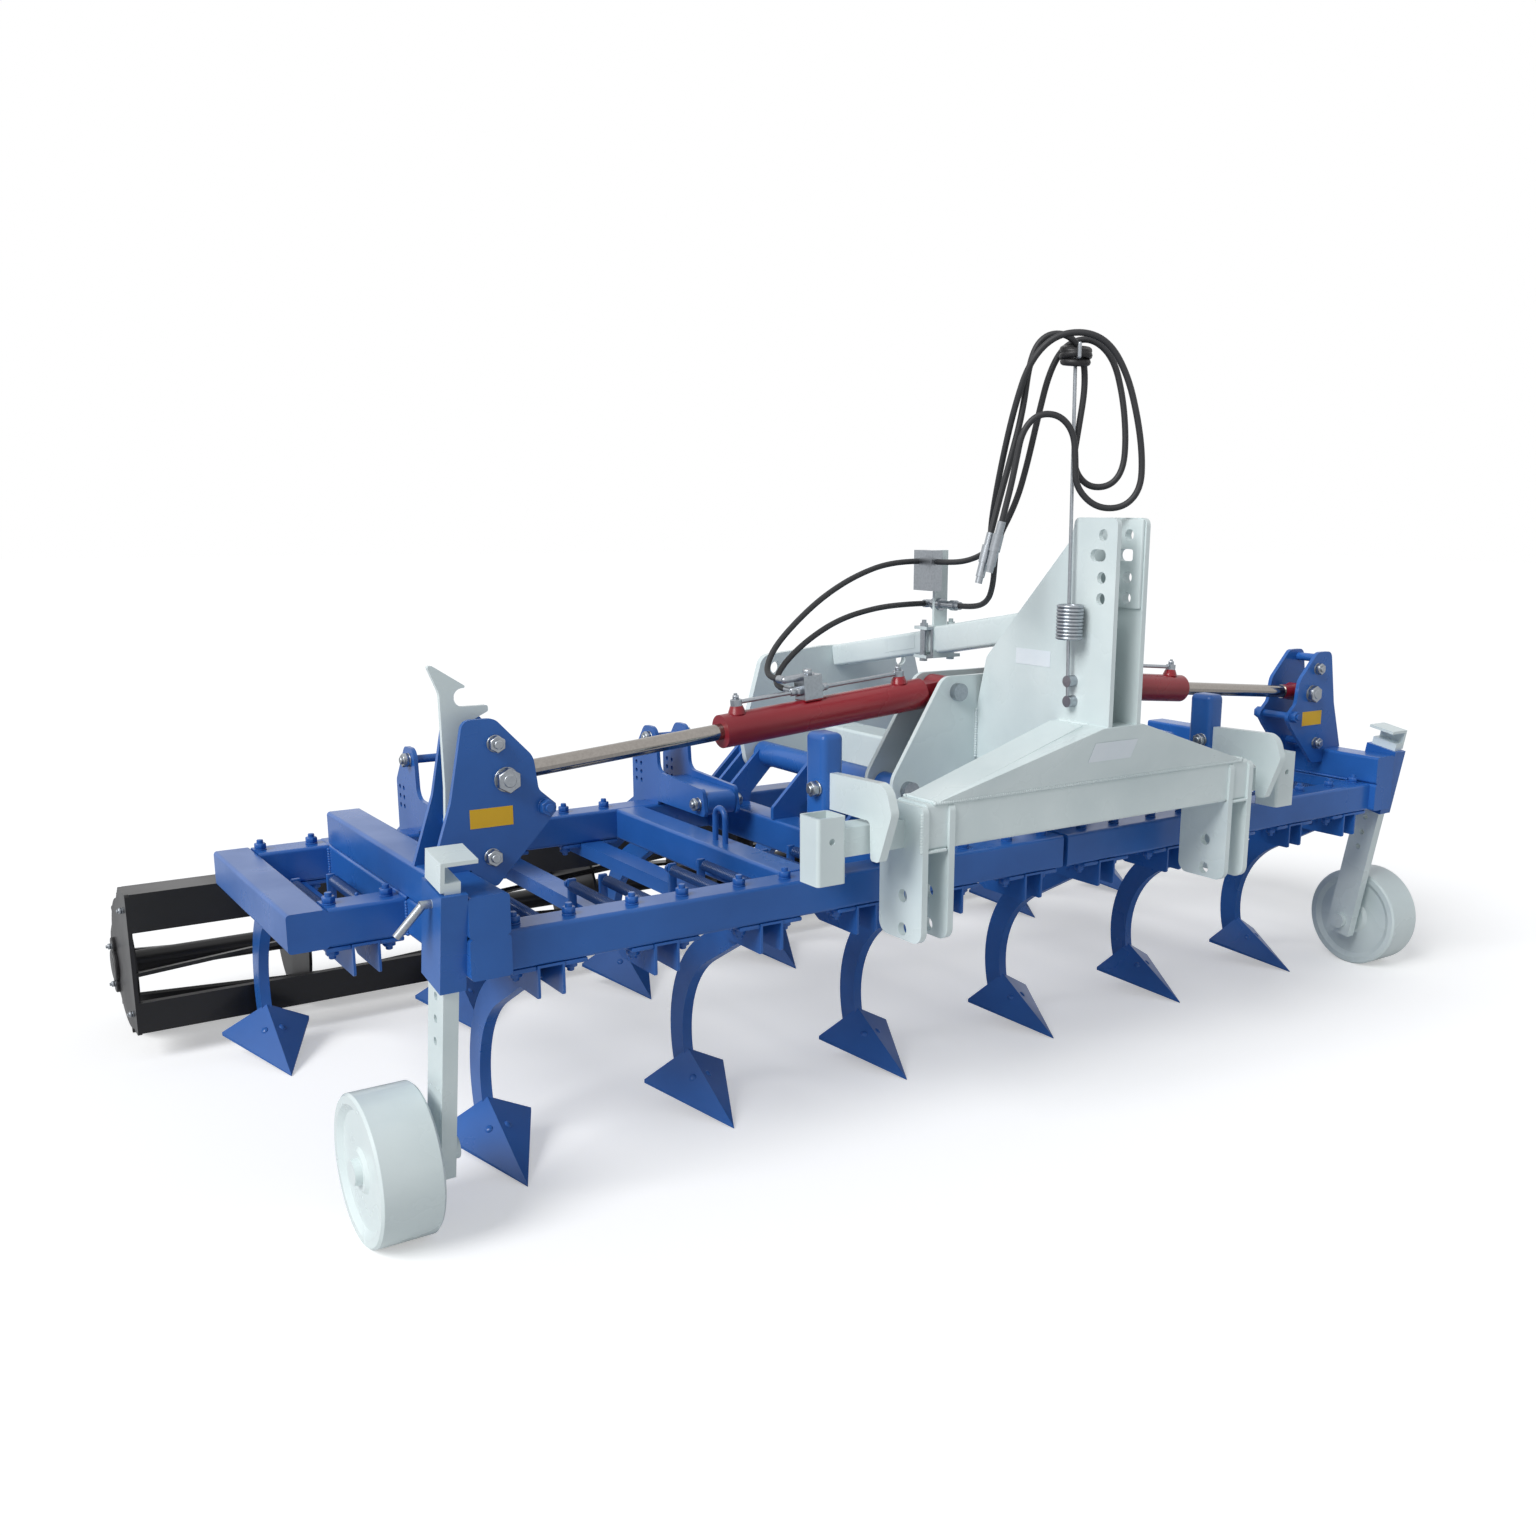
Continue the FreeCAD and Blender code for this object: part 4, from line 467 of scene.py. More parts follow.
def mesh_tube(name, points, radius):
    """A mesh tube along a route, and the smooth line that it follows."""
    line = route_curve(f"{name}_line", points, 0)
    path = [vertex.co.copy() for vertex in bpy.data.meshes.new_from_object(line).vertices]
    line.data.bevel_depth = radius
    mesh = bpy.data.meshes.new_from_object(line)
    mesh.name = name
    bpy.data.objects.remove(line)
    made = bpy.data.objects.new(name, mesh)
    bpy.context.scene.collection.objects.link(made)
    return made, path


for name, points in RAM_ROUTES.items():
    hose, path = mesh_tube(f"ram_hose_{name}", points, HOSE_DIAMETER / 2)
    hose.data.materials.clear()
    hose.data.materials.append(hose_rubber)
    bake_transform(hose)
    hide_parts(f"hose_ram_{name}")

# %% [markdown]
# ## Small steel parts: one pattern, many copies
#
# The machine is held together by a few kinds of bolt. Each kind is modelled once, as by hand, and
# then copied to its places. The copies are joined to one piece for each body, because a hundred
# loose objects help nobody. Four helpers do the chores: round the edges, join, copy and finish.

# %% Helpers for modelling
def round_edges(width_mm, segments=2):
    """Round the sharp edges of the active object."""
    made = bpy.context.object
    rounding = made.modifiers.new("rounding", "BEVEL")
    rounding.width = width_mm * MM
    rounding.segments = segments
    rounding.limit_method = "ANGLE"
    rounding.angle_limit = math.radians(40)
    bpy.ops.object.modifier_apply(modifier=rounding.name)
    return made


def joined(parts):
    """Join parts into the first of them and put its place into its mesh."""
    bpy.ops.object.select_all(action="DESELECT")
    for part in parts:
        part.select_set(True)
    bpy.context.view_layer.objects.active = parts[0]
    if len(parts) > 1:
        bpy.ops.object.join()
    bpy.ops.object.transform_apply(location=True, rotation=True, scale=True)
    return bpy.context.object


def finished(made, name, material, body):
    """Name, paint and shade a piece, and let it ride on its body."""
    made.name = name
    made.data.name = name
    made.data.materials.clear()
    made.data.materials.append(material)
    bpy.ops.object.select_all(action="DESELECT")
    made.select_set(True)
    bpy.context.view_layer.objects.active = made
    bpy.ops.object.shade_smooth_by_angle(angle=math.radians(38))
    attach(made, body)
    return made


def facing(point, direction):
    """A matrix that puts the origin at a point in mm and turns +Z to a direction."""
    turn = Vector(direction).to_track_quat("Z", "Y").to_matrix().to_4x4()
    return Matrix.Translation(Vector(point) * MM) @ turn


def copied(pattern, places):
    """Copies of a pattern, each with its own mesh, at a list of matrices."""
    copies = []
    for place in places:
        copy = bpy.data.objects.new(pattern.name, pattern.data.copy())
        copy.data.transform(place)
        bpy.context.scene.collection.objects.link(copy)
        copies.append(copy)
    return copies


def block(x, y, z, width_mm=2, segments=2):
    """A box between three spans in mm with rounded edges."""
    centre = [(low + high) / 2 * MM for low, high in (x, y, z)]
    bpy.ops.mesh.primitive_cube_add(size=1, location=centre)
    bpy.context.object.scale = [(high - low) * MM for low, high in (x, y, z)]
    bpy.ops.object.transform_apply(location=True, rotation=True, scale=True)
    return round_edges(width_mm, segments)


def rod(start, stop, radius_mm, sides=20, rim_mm=0.8):
    """A round bar from one point to another in mm, with chamfered rims."""
    start, stop = Vector(start), Vector(stop)
    bpy.ops.mesh.primitive_cylinder_add(
        vertices=sides, radius=radius_mm * MM, depth=(stop - start).length * MM)
    made = round_edges(rim_mm, 1)
    made.data.transform(facing((start + stop) / 2, stop - start))
    return made


# %% [markdown]
# ## Bolts
#
# A bolt is seen from outside as a washer, a six-sided nut with broken corners and a short end of
# thread. The nut is a cylinder with six sides whose rims are bevelled. Painted bolts went through
# the spray booth with the frame, and the bright ones were put in later.

# %% Two patterns of bolt
def bolt_pattern(name, across_mm, high_mm, thread_mm):
    """Washer, nut and thread end, standing on the origin along +Z."""
    washer_high = 3
    washer = rod((0, 0, 0), (0, 0, washer_high), across_mm * 0.57, 24, 0.6)
    bpy.ops.mesh.primitive_cylinder_add(
        vertices=6, radius=across_mm / math.sqrt(3) * MM, depth=high_mm * MM,
        location=(0, 0, (washer_high + high_mm / 2) * MM))
    nut = round_edges(1.4, 1)
    thread = rod((0, 0, 0), (0, 0, washer_high + high_mm + thread_mm), across_mm * 0.3, 14, 1.2)
    made = joined([washer, nut, thread])
    made.name = name
    return made


m16_bolt = bolt_pattern("m16_bolt", 24, 13, 8)
m20_bolt = bolt_pattern("m20_bolt", 30, 15, 5)
m28_bolt = bolt_pattern("m28_bolt", 44, 18, 2)
print("faces in a bolt:", len(m16_bolt.data.polygons))

# %% [markdown]
# ## Tine clamps
#
# Under each beam a tine channel has a tab on both sides, and a bolt goes through tab and beam. On
# the beams' top only nuts show, in pairs, one pair for each tine and beam. The outermost tine of
# each wing hangs on the short front beam of the extension. At the rear there are none under the
# hinge plate and inside the roller brackets, where they would have no room.

# %% Tabs and bolts at the tines
TINE_PITCH, TAB_OUT, BOLT_OUT = 250, 53, 57
BEAM_LOW, BEAM_TOP = 532, 612
FRONT_BEAM, REAR_BEAM, EXTENSION_BEAM = 0, 880, 332
TINE_STEPS = {"left": range(-6, 1), "right": range(1, 7)}
BOLTLESS = ((-1, 420), (420, 580), (1080, 1225))
tab_pattern = block((-25, 25), (-38, 38), (BEAM_LOW - 10, BEAM_LOW - 0.2), 3)
for name, steps in TINE_STEPS.items():
    tabs, bolts = [], []
    for step in steps:
        x = step * TINE_PITCH
        front = EXTENSION_BEAM if abs(step) == 6 else FRONT_BEAM
        for y in (front, REAR_BEAM):
            for way in (-1, 1):
                tabs.append(Matrix.Translation(Vector((x + way * TAB_OUT, y, 0)) * MM))
                bolt_x = x + way * BOLT_OUT
                if y == REAR_BEAM and any(low < abs(bolt_x) < high for low, high in BOLTLESS):
                    continue
                bolts.append(facing((bolt_x, y, BEAM_TOP), (0, 0, 1)))
                bolts.append(facing((bolt_x, y, BEAM_LOW - 10), (0, 0, -1)))
    for pattern, places, piece in (
            (tab_pattern, tabs, f"tine_tabs_{name}"), (m16_bolt, bolts, f"tine_bolts_{name}")):
        finished(
            joined(copied(pattern, places)), piece, blue_enamel, f"{name}_wing")
    print(name, len(tabs), "tabs", len(bolts), "bolts")
bpy.data.objects.remove(tab_pattern)

# %% [markdown]
# ## Trip springs
#
# Each tine has two tension springs beside its channel, which let it swing back when it meets a
# stone. A coil spring is a small circle that turns round an axis and climbs as it goes, which is
# what the Screw modifier does. The spring is drawn with an open pitch of 7 mm, a little wider than
# the real close coil, so that the turns still show from three metres away.

# %% Wind a spring and place the pairs
SPRING_LONG, SPRING_RADIUS, SPRING_WIRE = 258, 13, 2.3
SPRING_TURNS = 37
SPRING_OUT, SPRING_HIGH, SPRING_FRONT = 41, 575, 62
bpy.ops.mesh.primitive_circle_add(
    vertices=7, radius=SPRING_WIRE * MM, rotation=(math.radians(90), 0, 0),
    location=((SPRING_RADIUS - SPRING_WIRE) * MM, 0, SPRING_WIRE * MM))
bpy.ops.object.transform_apply(location=True, rotation=True, scale=True)
coil = bpy.context.object
winding = coil.modifiers.new("winding", "SCREW")
winding.angle = math.radians(360)
winding.screw_offset = (SPRING_LONG - 2 * SPRING_WIRE) / SPRING_TURNS * MM
winding.iterations = SPRING_TURNS
winding.steps = winding.render_steps = 12
winding.use_merge_vertices = True
bpy.ops.object.modifier_apply(modifier=winding.name)
bpy.ops.object.mode_set(mode="EDIT")
bpy.ops.mesh.select_all(action="SELECT")
bpy.ops.mesh.remove_doubles(threshold=0.00001)
bpy.ops.mesh.select_all(action="SELECT")
bpy.ops.mesh.fill_holes(sides=8)
bpy.ops.mesh.select_all(action="SELECT")
bpy.ops.mesh.normals_make_consistent(inside=False)
bpy.ops.object.mode_set(mode="OBJECT")
coil.name = "spring_coil"
print("faces in a spring:", len(coil.data.polygons))

LUG_LOW, LUG_IN, LUG_OUT = 498, 28, 47
LUG_TOP = SPRING_HIGH + 14
front_lug = block((LUG_IN, LUG_OUT), (-14, -4), (LUG_LOW, LUG_TOP), 2)
rear_lug = block((LUG_IN, LUG_OUT), (SPRING_LONG + 4, SPRING_LONG + 14), (LUG_LOW, LUG_TOP), 2)
anchor, hook = [
    rod((SPRING_OUT, front, SPRING_HIGH), (SPRING_OUT, rear, SPRING_HIGH), 5, 12)
    for front, rear in ((-30, 22), (SPRING_LONG - 22, SPRING_LONG + 26))]
small_nuts = copied(m16_bolt, [
    facing((SPRING_OUT, -14, SPRING_HIGH), (0, -1, 0)) @ Matrix.Scale(0.7, 4),
    facing((SPRING_OUT, SPRING_LONG + 14, SPRING_HIGH), (0, 1, 0)) @ Matrix.Scale(0.7, 4),
])
holder = joined([front_lug, rear_lug, anchor, hook] + small_nuts)
holder.name = "spring_holder"
for name, steps in TINE_STEPS.items():
    coils, holders = [], []
    for step in steps:
        ahead = SPRING_FRONT + (EXTENSION_BEAM if abs(step) == 6 else 0)
        for way in (-1, 1):
            coils.append(facing(
                (step * TINE_PITCH + way * SPRING_OUT, ahead, SPRING_HIGH), (0, 1, 0)))
            place = Matrix.Translation(Vector((step * TINE_PITCH, ahead, 0)) * MM)
            turn = Matrix.Identity(4) if way == 1 else Matrix.Rotation(math.radians(180), 4, "Z")
            if way == -1:
                place = place @ Matrix.Translation((0, SPRING_LONG * MM, 0))
            holders.append(place @ turn)
    springs = finished(
        joined(copied(coil, coils)), f"trip_springs_{name}", spring_paint,
        f"{name}_wing")
    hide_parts(f"tine_springs_{name}")
    finished(
        joined(copied(holder, holders)), f"spring_holders_{name}", blue_enamel,
        f"{name}_wing")
    print(name, len(coils), "springs", len(springs.data.polygons), "faces")
for pattern in (coil, holder):
    bpy.data.objects.remove(pattern)

# %% [markdown]
# ## Oil lines on the fold cylinders
#
# Each barrel has a port at both ends. A steel pipe runs from each port to a valve block that sits
# on the barrel and stops the wings from falling. On a port stands a banjo: a ring with a bolt down
# through it and the pipe into its side. It stands low, because with the wings up the cylinders are
# upright beside the strut and only a hand's breadth of room is left. The pipes end in union nuts.

# %% Ports, pipes and unions
def on_ram(side, along_mm, above_mm, aside_mm=0):
    """A point beside the axis of a fold cylinder."""
    along, above, base = ram_frame(side)
    return base + along * along_mm + above * above_mm + Vector((0, aside_mm, 0))


PORTS, PIPE_HIGH, BLOCK_SPAN = (130, 580), 58, (362.5, 411.5)
BANJO_LOW, BANJO_TOP = 50, 65
for name, side in SIDES.items():
    above = ram_frame(side)[1]
    bright, painted = [], []
    for port in PORTS:
        bpy.ops.mesh.primitive_cone_add(
            vertices=28, radius1=21 * MM, radius2=14 * MM, depth=18 * MM)
        cone = round_edges(1, 1)
        cone.data.transform(facing(on_ram(side, port, 42), above))
        painted.append(cone)
        bright.append(rod(on_ram(side, port, BANJO_LOW), on_ram(side, port, BANJO_TOP), 13, 24))
        bright += copied(
            m16_bolt, [facing(on_ram(side, port, BANJO_TOP), above) @ Matrix.Scale(0.58, 4)])
        toward = 1 if port < BLOCK_SPAN[0] else -1
        union = BLOCK_SPAN[0] if toward == 1 else BLOCK_SPAN[1]
        for start, stop, radius, sides, rim in (
                (port, union - toward * 10, 5, 14, 0.4),
                (union + toward * 2, union - toward * 12, 12, 6, 0.8),
                (union - toward * 11, union - toward * 26, 9, 6, 0.8)):
            bright.append(rod(
                on_ram(side, start, PIPE_HIGH), on_ram(side, stop, PIPE_HIGH), radius, sides, rim))
    bright.append(rod(on_ram(side, 387, 90), on_ram(side, 387, 104), 11, 6))
    finished(joined(painted), f"port_bosses_{name}", red_enamel, f"{name}_barrel")
    finished(joined(bright), f"oil_lines_{name}", zinc_plate, f"{name}_barrel")
    print(name, "oil lines from", [round(c) for c in on_ram(side, PORTS[0], PIPE_HIGH)])

# %% [markdown]
# ## Bright bolts
#
# The cylinder brackets, the roller arms and the lock posts are put together with zinc-plated bolts
# that stand out against the blue.

# %% Bolts of the wings
BRACKET_FACES = ((130, -1), (242, 1))
ARM_MIDDLES, ARM_FACE = (500, 1150), 52
for name, side in SIDES.items():
    big, middle, painted = [], [], []
    for face, way in BRACKET_FACES:
        big.append(facing((side * 1257, face, 865), (0, way, 0)))
        middle += [facing((side * x, face, z), (0, way, 0)) for x, z in ((1292, 714), (1277, 938))]
        painted.append(facing((side * 1177, face, 802), (0, way, 0)))
    for arm in ARM_MIDDLES:
        for way in (-1, 1):
            for y, z in ((620, 650), (880, 788)):
                middle.append(facing((side * arm + way * ARM_FACE, y, z), (way, 0, 0)))
    middle += [facing((side * x, -38, 808), (side * way, 0, 0)) for x, way in ((635, 1), (580, -1))]
    bolts = joined(copied(m28_bolt, big) + copied(m20_bolt, middle))
    finished(bolts, f"bright_bolts_{name}", zinc_plate, f"{name}_wing")
    finished(
        joined(copied(m20_bolt, painted)), f"painted_bolts_{name}", blue_enamel,
        f"{name}_wing")

# %% [markdown]
# ## The strut
#
# The mast is held from behind by a strut of square tube: a wide tube from the mast, and a narrower
# one that slides out of it at the hose clamp and is welded to the rear plate. The CAD keeps it as
# one round bar, so these two tubes replace it.

# %% Two square tubes
STRUT_START, STRUT_STOP = Vector((0, -70, 1135)), Vector((0, 800, 985))


def strut_tube(start_y, stop_y, side_mm, corner_mm):
    """A square tube on the strut's line between two distances behind the front beam."""
    slope = (STRUT_STOP.z - STRUT_START.z) / (STRUT_STOP.y - STRUT_START.y)
    ends = [Vector((0, y, STRUT_START.z + slope * (y - STRUT_START.y))) for y in (start_y, stop_y)]
    bpy.ops.mesh.primitive_cube_add(size=1)
    tube = bpy.context.object
    tube.scale = (side_mm * MM, side_mm * MM, (ends[1] - ends[0]).length * MM)
    bpy.ops.object.transform_apply(location=True, rotation=True, scale=True)
    bpy.ops.object.mode_set(mode="EDIT")
    bpy.ops.mesh.select_all(action="DESELECT")
    bpy.ops.object.mode_set(mode="OBJECT")
    for edge in tube.data.edges:
        first, second = (tube.data.vertices[i].co for i in edge.vertices)
        edge.select = abs(first.z - second.z) > side_mm * MM
    bpy.ops.object.mode_set(mode="EDIT")
    bpy.ops.mesh.select_mode(type="EDGE")
    bpy.ops.mesh.bevel(offset=corner_mm * MM, segments=4)
    bpy.ops.mesh.select_mode(type="VERT")
    bpy.ops.object.mode_set(mode="OBJECT")
    tube.data.transform(facing((ends[0] + ends[1]) / 2, ends[1] - ends[0]))
    return tube


strut = joined([strut_tube(-70, 322, 68, 8), strut_tube(310, 780, 58, 7)])
finished(strut, "square_strut", white_enamel, "headstock")
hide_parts("mast_strut")

# %% [markdown]
# ## Blank labels
#
# The real machine has stickers here. They are left blank: thin sheets of vinyl, half a millimetre
# thick, that stand a hair off the paint.

# %% Labels
def label(corner_a, corner_b, corner_c):
    """A thin sheet on three of its corners in mm, seen from outside in turning order."""
    a, b, c = Vector(corner_a), Vector(corner_b), Vector(corner_c)
    across, down = b - a, c - b
    outward = down.cross(across).normalized()
    bpy.ops.mesh.primitive_cube_add(size=1)
    made = bpy.context.object
    made.data.transform(Matrix.Diagonal((across.length * MM, down.length * MM, 0.6 * MM, 1)))
    turn = Matrix((across.normalized(), -down.normalized(), outward)).transposed().to_4x4()
    made.data.transform(Matrix.Translation(((a + c) / 2 + outward * 0.3) * MM) @ turn)
    return made


left_label = label((-1334, 130, 812), (-1246, 130, 812), (-1246, 130, 774))
finished(left_label, "bracket_label_left", yellow_label, "left_wing")
right_label = label((1222, 130, 812), (1312, 130, 812), (1312, 130, 770))
finished(right_label, "bracket_label_right", yellow_label, "right_wing")
for name, colour, corners in (
        ("gusset_top_label", yellow_label,
            ((-330, -238, 840), (-232, -238, 869), (-232, -172, 869))),
        ("strut_label", white_enamel,
            ((-29.2, 535, 1052), (-29.2, 406, 1075), (-29.2, 406, 1040))),
        ("mast_label", pale_label,
            ((-50.2, -5, 1076), (-50.2, -120, 1076), (-50.2, -120, 1040)))):
    finished(label(*corners), name, colour, "headstock")

# %% [markdown]
# ## The gusset's front plate
#
# In front, the gusset is closed by one plate that leans forward from the cross beam up to the
# mast's front edge, so that the mast seems to grow out of it. The plate and what closes its ends
# make a wedge, flat at the bottom and 60 mm deep at the top.

# %% Wedge in front of the mast
SEAM_OUT, RIDGE_OUT, SEAM_HIGH, RIDGE_HIGH = 486, 62, 795, 925
BEAM_FRONT, MAST_FRONT = -250, -312
bpy.ops.mesh.primitive_cube_add(size=2)
wedge = bpy.context.object
for vertex in wedge.data.vertices:
    on_ridge, in_front = vertex.co.z > 0, vertex.co.y < 0
    half = RIDGE_OUT if on_ridge else SEAM_OUT
    front = MAST_FRONT if on_ridge else BEAM_FRONT - 2
    back = BEAM_FRONT + 4
    vertex.co = Vector((
        math.copysign(half, vertex.co.x), front if in_front else back,
        RIDGE_HIGH if on_ridge else SEAM_HIGH)) * MM
bpy.ops.object.select_all(action="DESELECT")
wedge.select_set(True)
bpy.context.view_layer.objects.active = wedge
round_edges(2)
finished(wedge, "gusset_front", white_enamel, "headstock")
finished(
    label((-73, -297, 891), (60, -297, 891), (60, -275.8, 845)), "gusset_front_label", pale_label,
    "headstock")

# %% [markdown]
# ## The pad on the mast
#
# The mast's right cheek is doubled at the top, where the tractor's upper link pulls: a pad 8 mm
# thick is welded to its inner face and drilled together with it. A block with wide round corners
# is cut by three round bars and a slot through both, which is how the drill did it.

# %% Pad with three holes and a slot
PAD_HOLES, HOLE_RADIUS, HOLE_BACK = (1338, 1247, 1202), 12.9, -268
pad = block((30, 38.2), (-306, -234), (1180, 1372), 3)
cutters = [rod((20, HOLE_BACK, z), (50, HOLE_BACK, z), HOLE_RADIUS, 32, 0.1) for z in PAD_HOLES]
cutters.append(block((20, 50), (-281, -229), (1282, 1308), 6, 4))
for cutter in cutters:
    bpy.context.view_layer.objects.active = pad
    cut = pad.modifiers.new("cut", "BOOLEAN")
    cut.operation = "DIFFERENCE"
    cut.object = cutter
    bpy.ops.object.modifier_apply(modifier=cut.name)
    bpy.data.objects.remove(cutter)
finished(pad, "mast_pad", white_enamel, "headstock")

# %% [markdown]
# ## Lock posts
#
# The posts that the claws hang on are thick-walled tube with wide round corners and a cap welded
# on top. A box whose edges are all rounded by a wide bevel gives that form.

# %% Posts with round corners
for name, side in SIDES.items():
    x = sorted((side * 580, side * 635))
    post = block(x, (-60, 10), (612, 926), 14, 5)
    post = finished(post, f"round_post_{name}", blue_enamel, f"{name}_wing")
    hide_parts(f"lock_post_{name}")

# %% [markdown]
# ## Shares and roller ends
#
# Two plough bolts hold each share to its shank; their low round heads lie on its two halves. The
# roller turns in flange bearings: a round housing with an ear and a bolt above and below the shaft.

# %% Plough bolts and flange bearings
bpy.ops.mesh.primitive_uv_sphere_add(segments=16, ring_count=8, radius=9 * MM)
plough_head = bpy.context.object
plough_head.scale = (1, 1, 0.45)
bpy.ops.object.transform_apply(location=True, rotation=True, scale=True)
for name, steps in TINE_STEPS.items():
    heads = []
    for step in steps:
        back = REAR_BEAM if step % 2 == 0 else 0
        for way in (-1, 1):
            point = Vector((step * TINE_PITCH, 125 + back, 3))
            wing = Vector((step * TINE_PITCH + way * 108, 356 + back, 66))
            ridge = Vector((step * TINE_PITCH, 336 + back, 127))
            outward = (ridge - point).cross(wing - point) * -way
            heads.append(facing(0.3 * point + 0.5 * ridge + 0.2 * wing, outward))
    finished(
        joined(copied(plough_head, heads)), f"plough_bolts_{name}", blue_enamel,
        f"{name}_wing")
bpy.data.objects.remove(plough_head)
SHAFT_Y, SHAFT_HIGH, EAR_UP = 1570, 190, 52
PLATE_FACE, EAR_FACE = 1788, 1798
SMALL = Matrix.Scale(0.6, 4)
for name, side in SIDES.items():
    bearing = [rod(
        (side * PLATE_FACE, SHAFT_Y, SHAFT_HIGH), (side * 1799.5, SHAFT_Y, SHAFT_HIGH), 44, 32, 3)]
    bearing.append(block(
        sorted((side * PLATE_FACE, side * 1797)), (SHAFT_Y - 22, SHAFT_Y + 22),
        (SHAFT_HIGH - EAR_UP, SHAFT_HIGH + EAR_UP), 2))
    heads = [(side * 1790, 1360, high) for high in (389, 115)]
    for up in (-EAR_UP, EAR_UP):
        bearing.append(rod(
            (side * PLATE_FACE, SHAFT_Y, SHAFT_HIGH + up),
            (side * EAR_FACE, SHAFT_Y, SHAFT_HIGH + up), 24, 24, 2))
        heads.append((side * (EAR_FACE - 1), SHAFT_Y, SHAFT_HIGH + up))
    finished(
        joined(bearing), f"flange_bearing_{name}", black_enamel, f"{name}_wing")
    bolts = copied(m16_bolt, [facing(head, (side, 0, 0)) @ SMALL for head in heads])
    finished(joined(bolts), f"bearing_bolts_{name}", zinc_plate, f"{name}_wing")

# %% [markdown]
# ## The tie on the hoses
#
# Where the loops pass over the crossbar they are bound to it with a strip of black rubber, wound
# round three times. Each turn is a thick ring, a little askew, and the three overlap.

# %% Three turns of rubber strip
TIE_X, TIE_Y, STRIP_RADIUS = -68, -180, 8
turns = []
for high, lean, wide in ((1700, 8, 25), (1712, -5, 28), (1724, 11, 27)):
    bpy.ops.mesh.primitive_torus_add(
        location=Vector((TIE_X, TIE_Y, high)) * MM,
        rotation=(math.radians(lean), math.radians(-lean / 2), 0),
        major_radius=wide * MM, minor_radius=STRIP_RADIUS * MM,
        major_segments=36, minor_segments=10)
    turns.append(bpy.context.object)
finished(joined(turns), "hose_tie", black_tape, "headstock")

# %% [markdown]
# ## Weld beads
#
# Frame parts meet in fillet welds: a rope of small overlapping ripples, each one a drop that froze
# behind the arc. One drop is a small ball, and the Array modifier lays it down every 6 mm.

# %% Lay the beads
BEAD_PITCH = 6


def bead(start, stop, radius_mm=4.5):
    """A weld bead between two points in mm."""
    start, stop = Vector(start), Vector(stop)
    bpy.ops.mesh.primitive_uv_sphere_add(segments=8, ring_count=5, radius=radius_mm * MM)
    made = bpy.context.object
    row = made.modifiers.new("row", "ARRAY")
    row.use_relative_offset = False
    row.use_constant_offset = True
    row.constant_offset_displace = (0, 0, BEAD_PITCH * MM)
    row.count = max(2, int((stop - start).length / BEAD_PITCH))
    bpy.ops.object.modifier_apply(modifier=row.name)
    made.data.transform(facing(start, stop - start))
    return made


HEAD_SEAMS = [
    ((-485, -251, 795), (485, -251, 795)), ((-485, -149, 795), (485, -149, 795)),
]
for side in (-1, 1):
    HEAD_SEAMS += [
        ((side * 51, -245, 924), (side * 51, -155, 924)),
        ((side * 51, -140, 796), (side * 51, 118, 796)),
        ((side * 485, -245, 797), (side * 485, -155, 797)),
        ((side * 520, -252, 696), (side * 520, -252, 780)),
        ((side * 505, -252, 694), (side * 448, -252, 694)),
        ((side * 52, 129, 800), (side * 52, 129, 925)),
    ]
finished(
    joined([bead(*seam) for seam in HEAD_SEAMS]), "headstock_welds", white_enamel,
    "headstock")
# Seams of a wing: outboard, y and z of the start, and the same of the end.
WING_SEAMS = (
    (1415, 292, 613, 1415, 372, 613), (1416, 291, 536, 1416, 291, 610),
    (1416, 373, 536, 1416, 373, 610), (1416, 839, 536, 1416, 839, 610),
    (1490, 373, 612, 1490, 373, 536), (1335, 41, 613, 1335, 838, 613),
    (1334, 41, 536, 1334, 41, 610), (595, 41, 611, 675, 41, 611), (594, 41, 536, 594, 41, 610),
    (676, 41, 536, 676, 41, 610), (320, 41, 611, 400, 41, 611), (579, -61, 614, 579, 9, 614),
    (582, -61, 613, 634, -61, 613), (636, -61, 614, 636, 9, 614),
)
for name, side in SIDES.items():
    beads = [bead((side * x, y, z), (side * u, v, w)) for x, y, z, u, v, w in WING_SEAMS]
    finished(joined(beads), f"frame_welds_{name}", blue_enamel, f"{name}_wing")

for pattern in (m16_bolt, m20_bolt, m28_bolt):
    bpy.data.objects.remove(pattern)

# %% [markdown]
# ## Studio light
#
# In the photograph the faces that look left and up are bright and the faces that look at the camera
# are darker, so a wide, soft sun stands high on the left, over an even pale world. A sun lights the
# floor evenly as far as it goes, so the background can be white without a visible edge: the world
# is white for camera and mirror rays only, and the floor adds a little light of its own that only
# the camera sees, which lifts it to white and keeps the object's shadow.

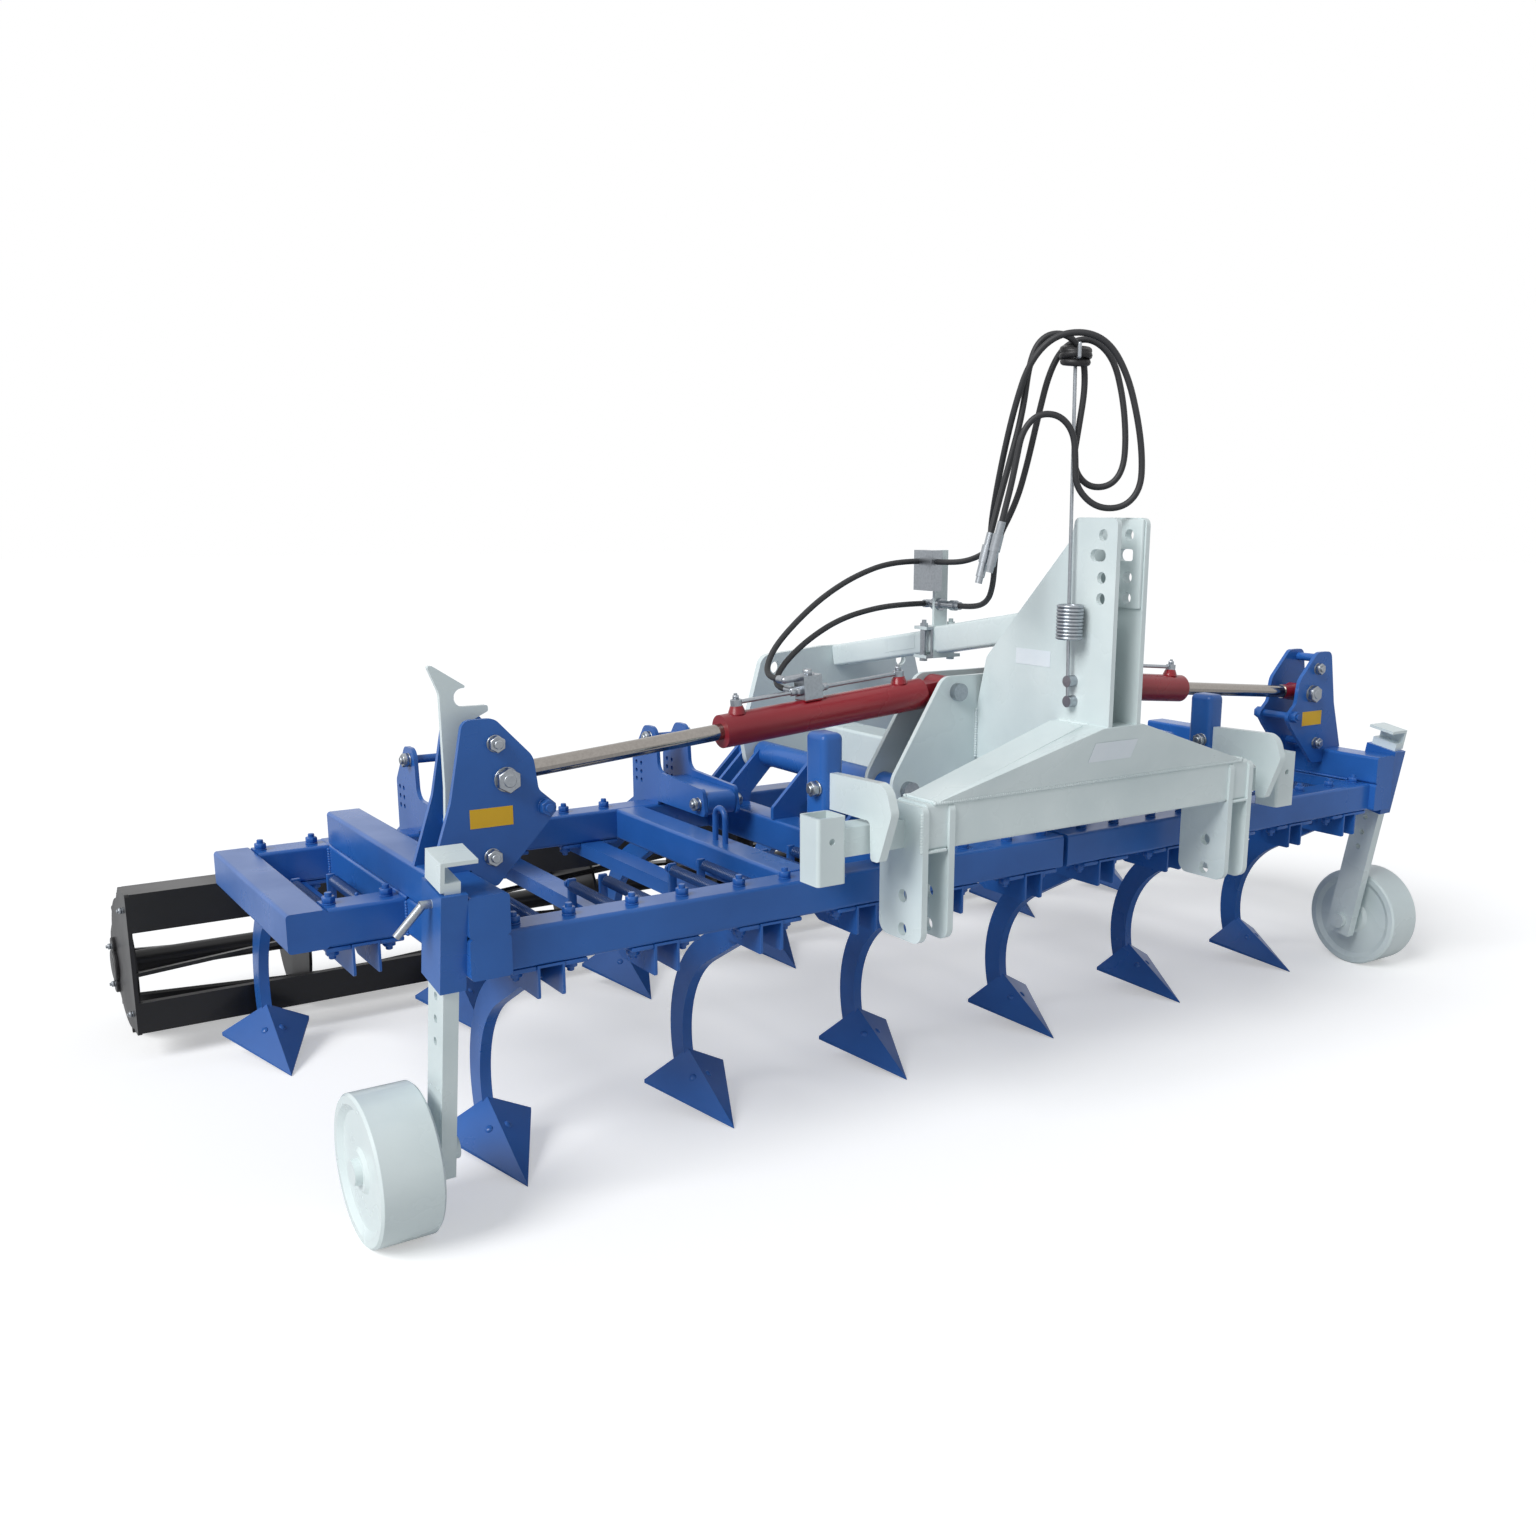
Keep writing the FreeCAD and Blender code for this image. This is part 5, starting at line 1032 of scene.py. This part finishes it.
# %% World, sun and floor
world = bpy.data.worlds.new("studio")
bpy.context.scene.world = world
world.use_nodes = True
tree = world.node_tree
tree.nodes.clear()
rays = add_node(tree, "ShaderNodeLightPath")
seen = add_node(
    tree, "ShaderNodeMath", {"operation": "MAXIMUM"}, None,
    {0: rays.outputs["Is Camera Ray"], 1: rays.outputs["Is Glossy Ray"]})
seen = add_node(
    tree, "ShaderNodeMath", {"operation": "MAXIMUM"}, None,
    {0: seen.outputs["Value"], 1: rays.outputs["Is Transmission Ray"]})
soft = add_node(
    tree, "ShaderNodeBackground", None, {"Color": hex_colour("#f1f5fa"), "Strength": 0.38})
plain = add_node(tree, "ShaderNodeBackground", None, {"Color": (1, 1, 1, 1), "Strength": 1.0})
both = add_node(
    tree, "ShaderNodeMixShader", None, None,
    {0: seen.outputs["Value"], 1: soft.outputs["Background"], 2: plain.outputs["Background"]})
add_node(tree, "ShaderNodeOutputWorld", None, None, {"Surface": both.outputs["Shader"]})

TOWARDS_SUN = Vector((-0.76, -0.16, 0.63))
bpy.ops.object.light_add(type="SUN", location=TOWARDS_SUN * 6)
sun = bpy.context.object
sun.name = "soft_sun"
sun.data.energy = 2.4
sun.data.angle = math.radians(32)
sun.rotation_euler = TOWARDS_SUN.to_track_quat("Z", "Y").to_euler()

bpy.ops.mesh.primitive_plane_add(size=80, location=(0, 0, 0))
floor = bpy.context.object
floor.name = "studio_floor"
paper, tree, output = fresh_material("white_paper_floor")
rays = add_node(tree, "ShaderNodeLightPath")
matt = add_node(tree, "ShaderNodeBsdfDiffuse", None, {"Color": hex_colour("#e6e6e6")})
lift = add_node(tree, "ShaderNodeEmission", None, {"Color": (1, 1, 1, 1)})
FLOOR_LIFT = 0.40
lift_level = add_node(
    tree, "ShaderNodeMath", {"operation": "MULTIPLY"}, {1: FLOOR_LIFT},
    {0: rays.outputs["Is Camera Ray"]})
tree.links.new(lift_level.outputs["Value"], lift.inputs["Strength"])
whole = add_node(
    tree, "ShaderNodeAddShader", None, None, {0: matt.outputs["BSDF"], 1: lift.outputs["Emission"]})
tree.links.new(whole.outputs["Shader"], output.inputs["Surface"])
floor.data.materials.append(paper)
floor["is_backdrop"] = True

bpy.context.scene.view_settings.view_transform = "Standard"

# %% [markdown]
# ## Measure and finish
#
# The box of the dressed object is set against the box of the CAD model, and how far it has grown
# at each end is printed. Looks may not grow the object.

# %% Write the sizes and finish
dressed_low, dressed_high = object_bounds()
for end, grown in (("low", dressed_low - cad_low), ("high", dressed_high - cad_high)):
    print("grown at the", end, "end", [round(c, 4) for c in grown])
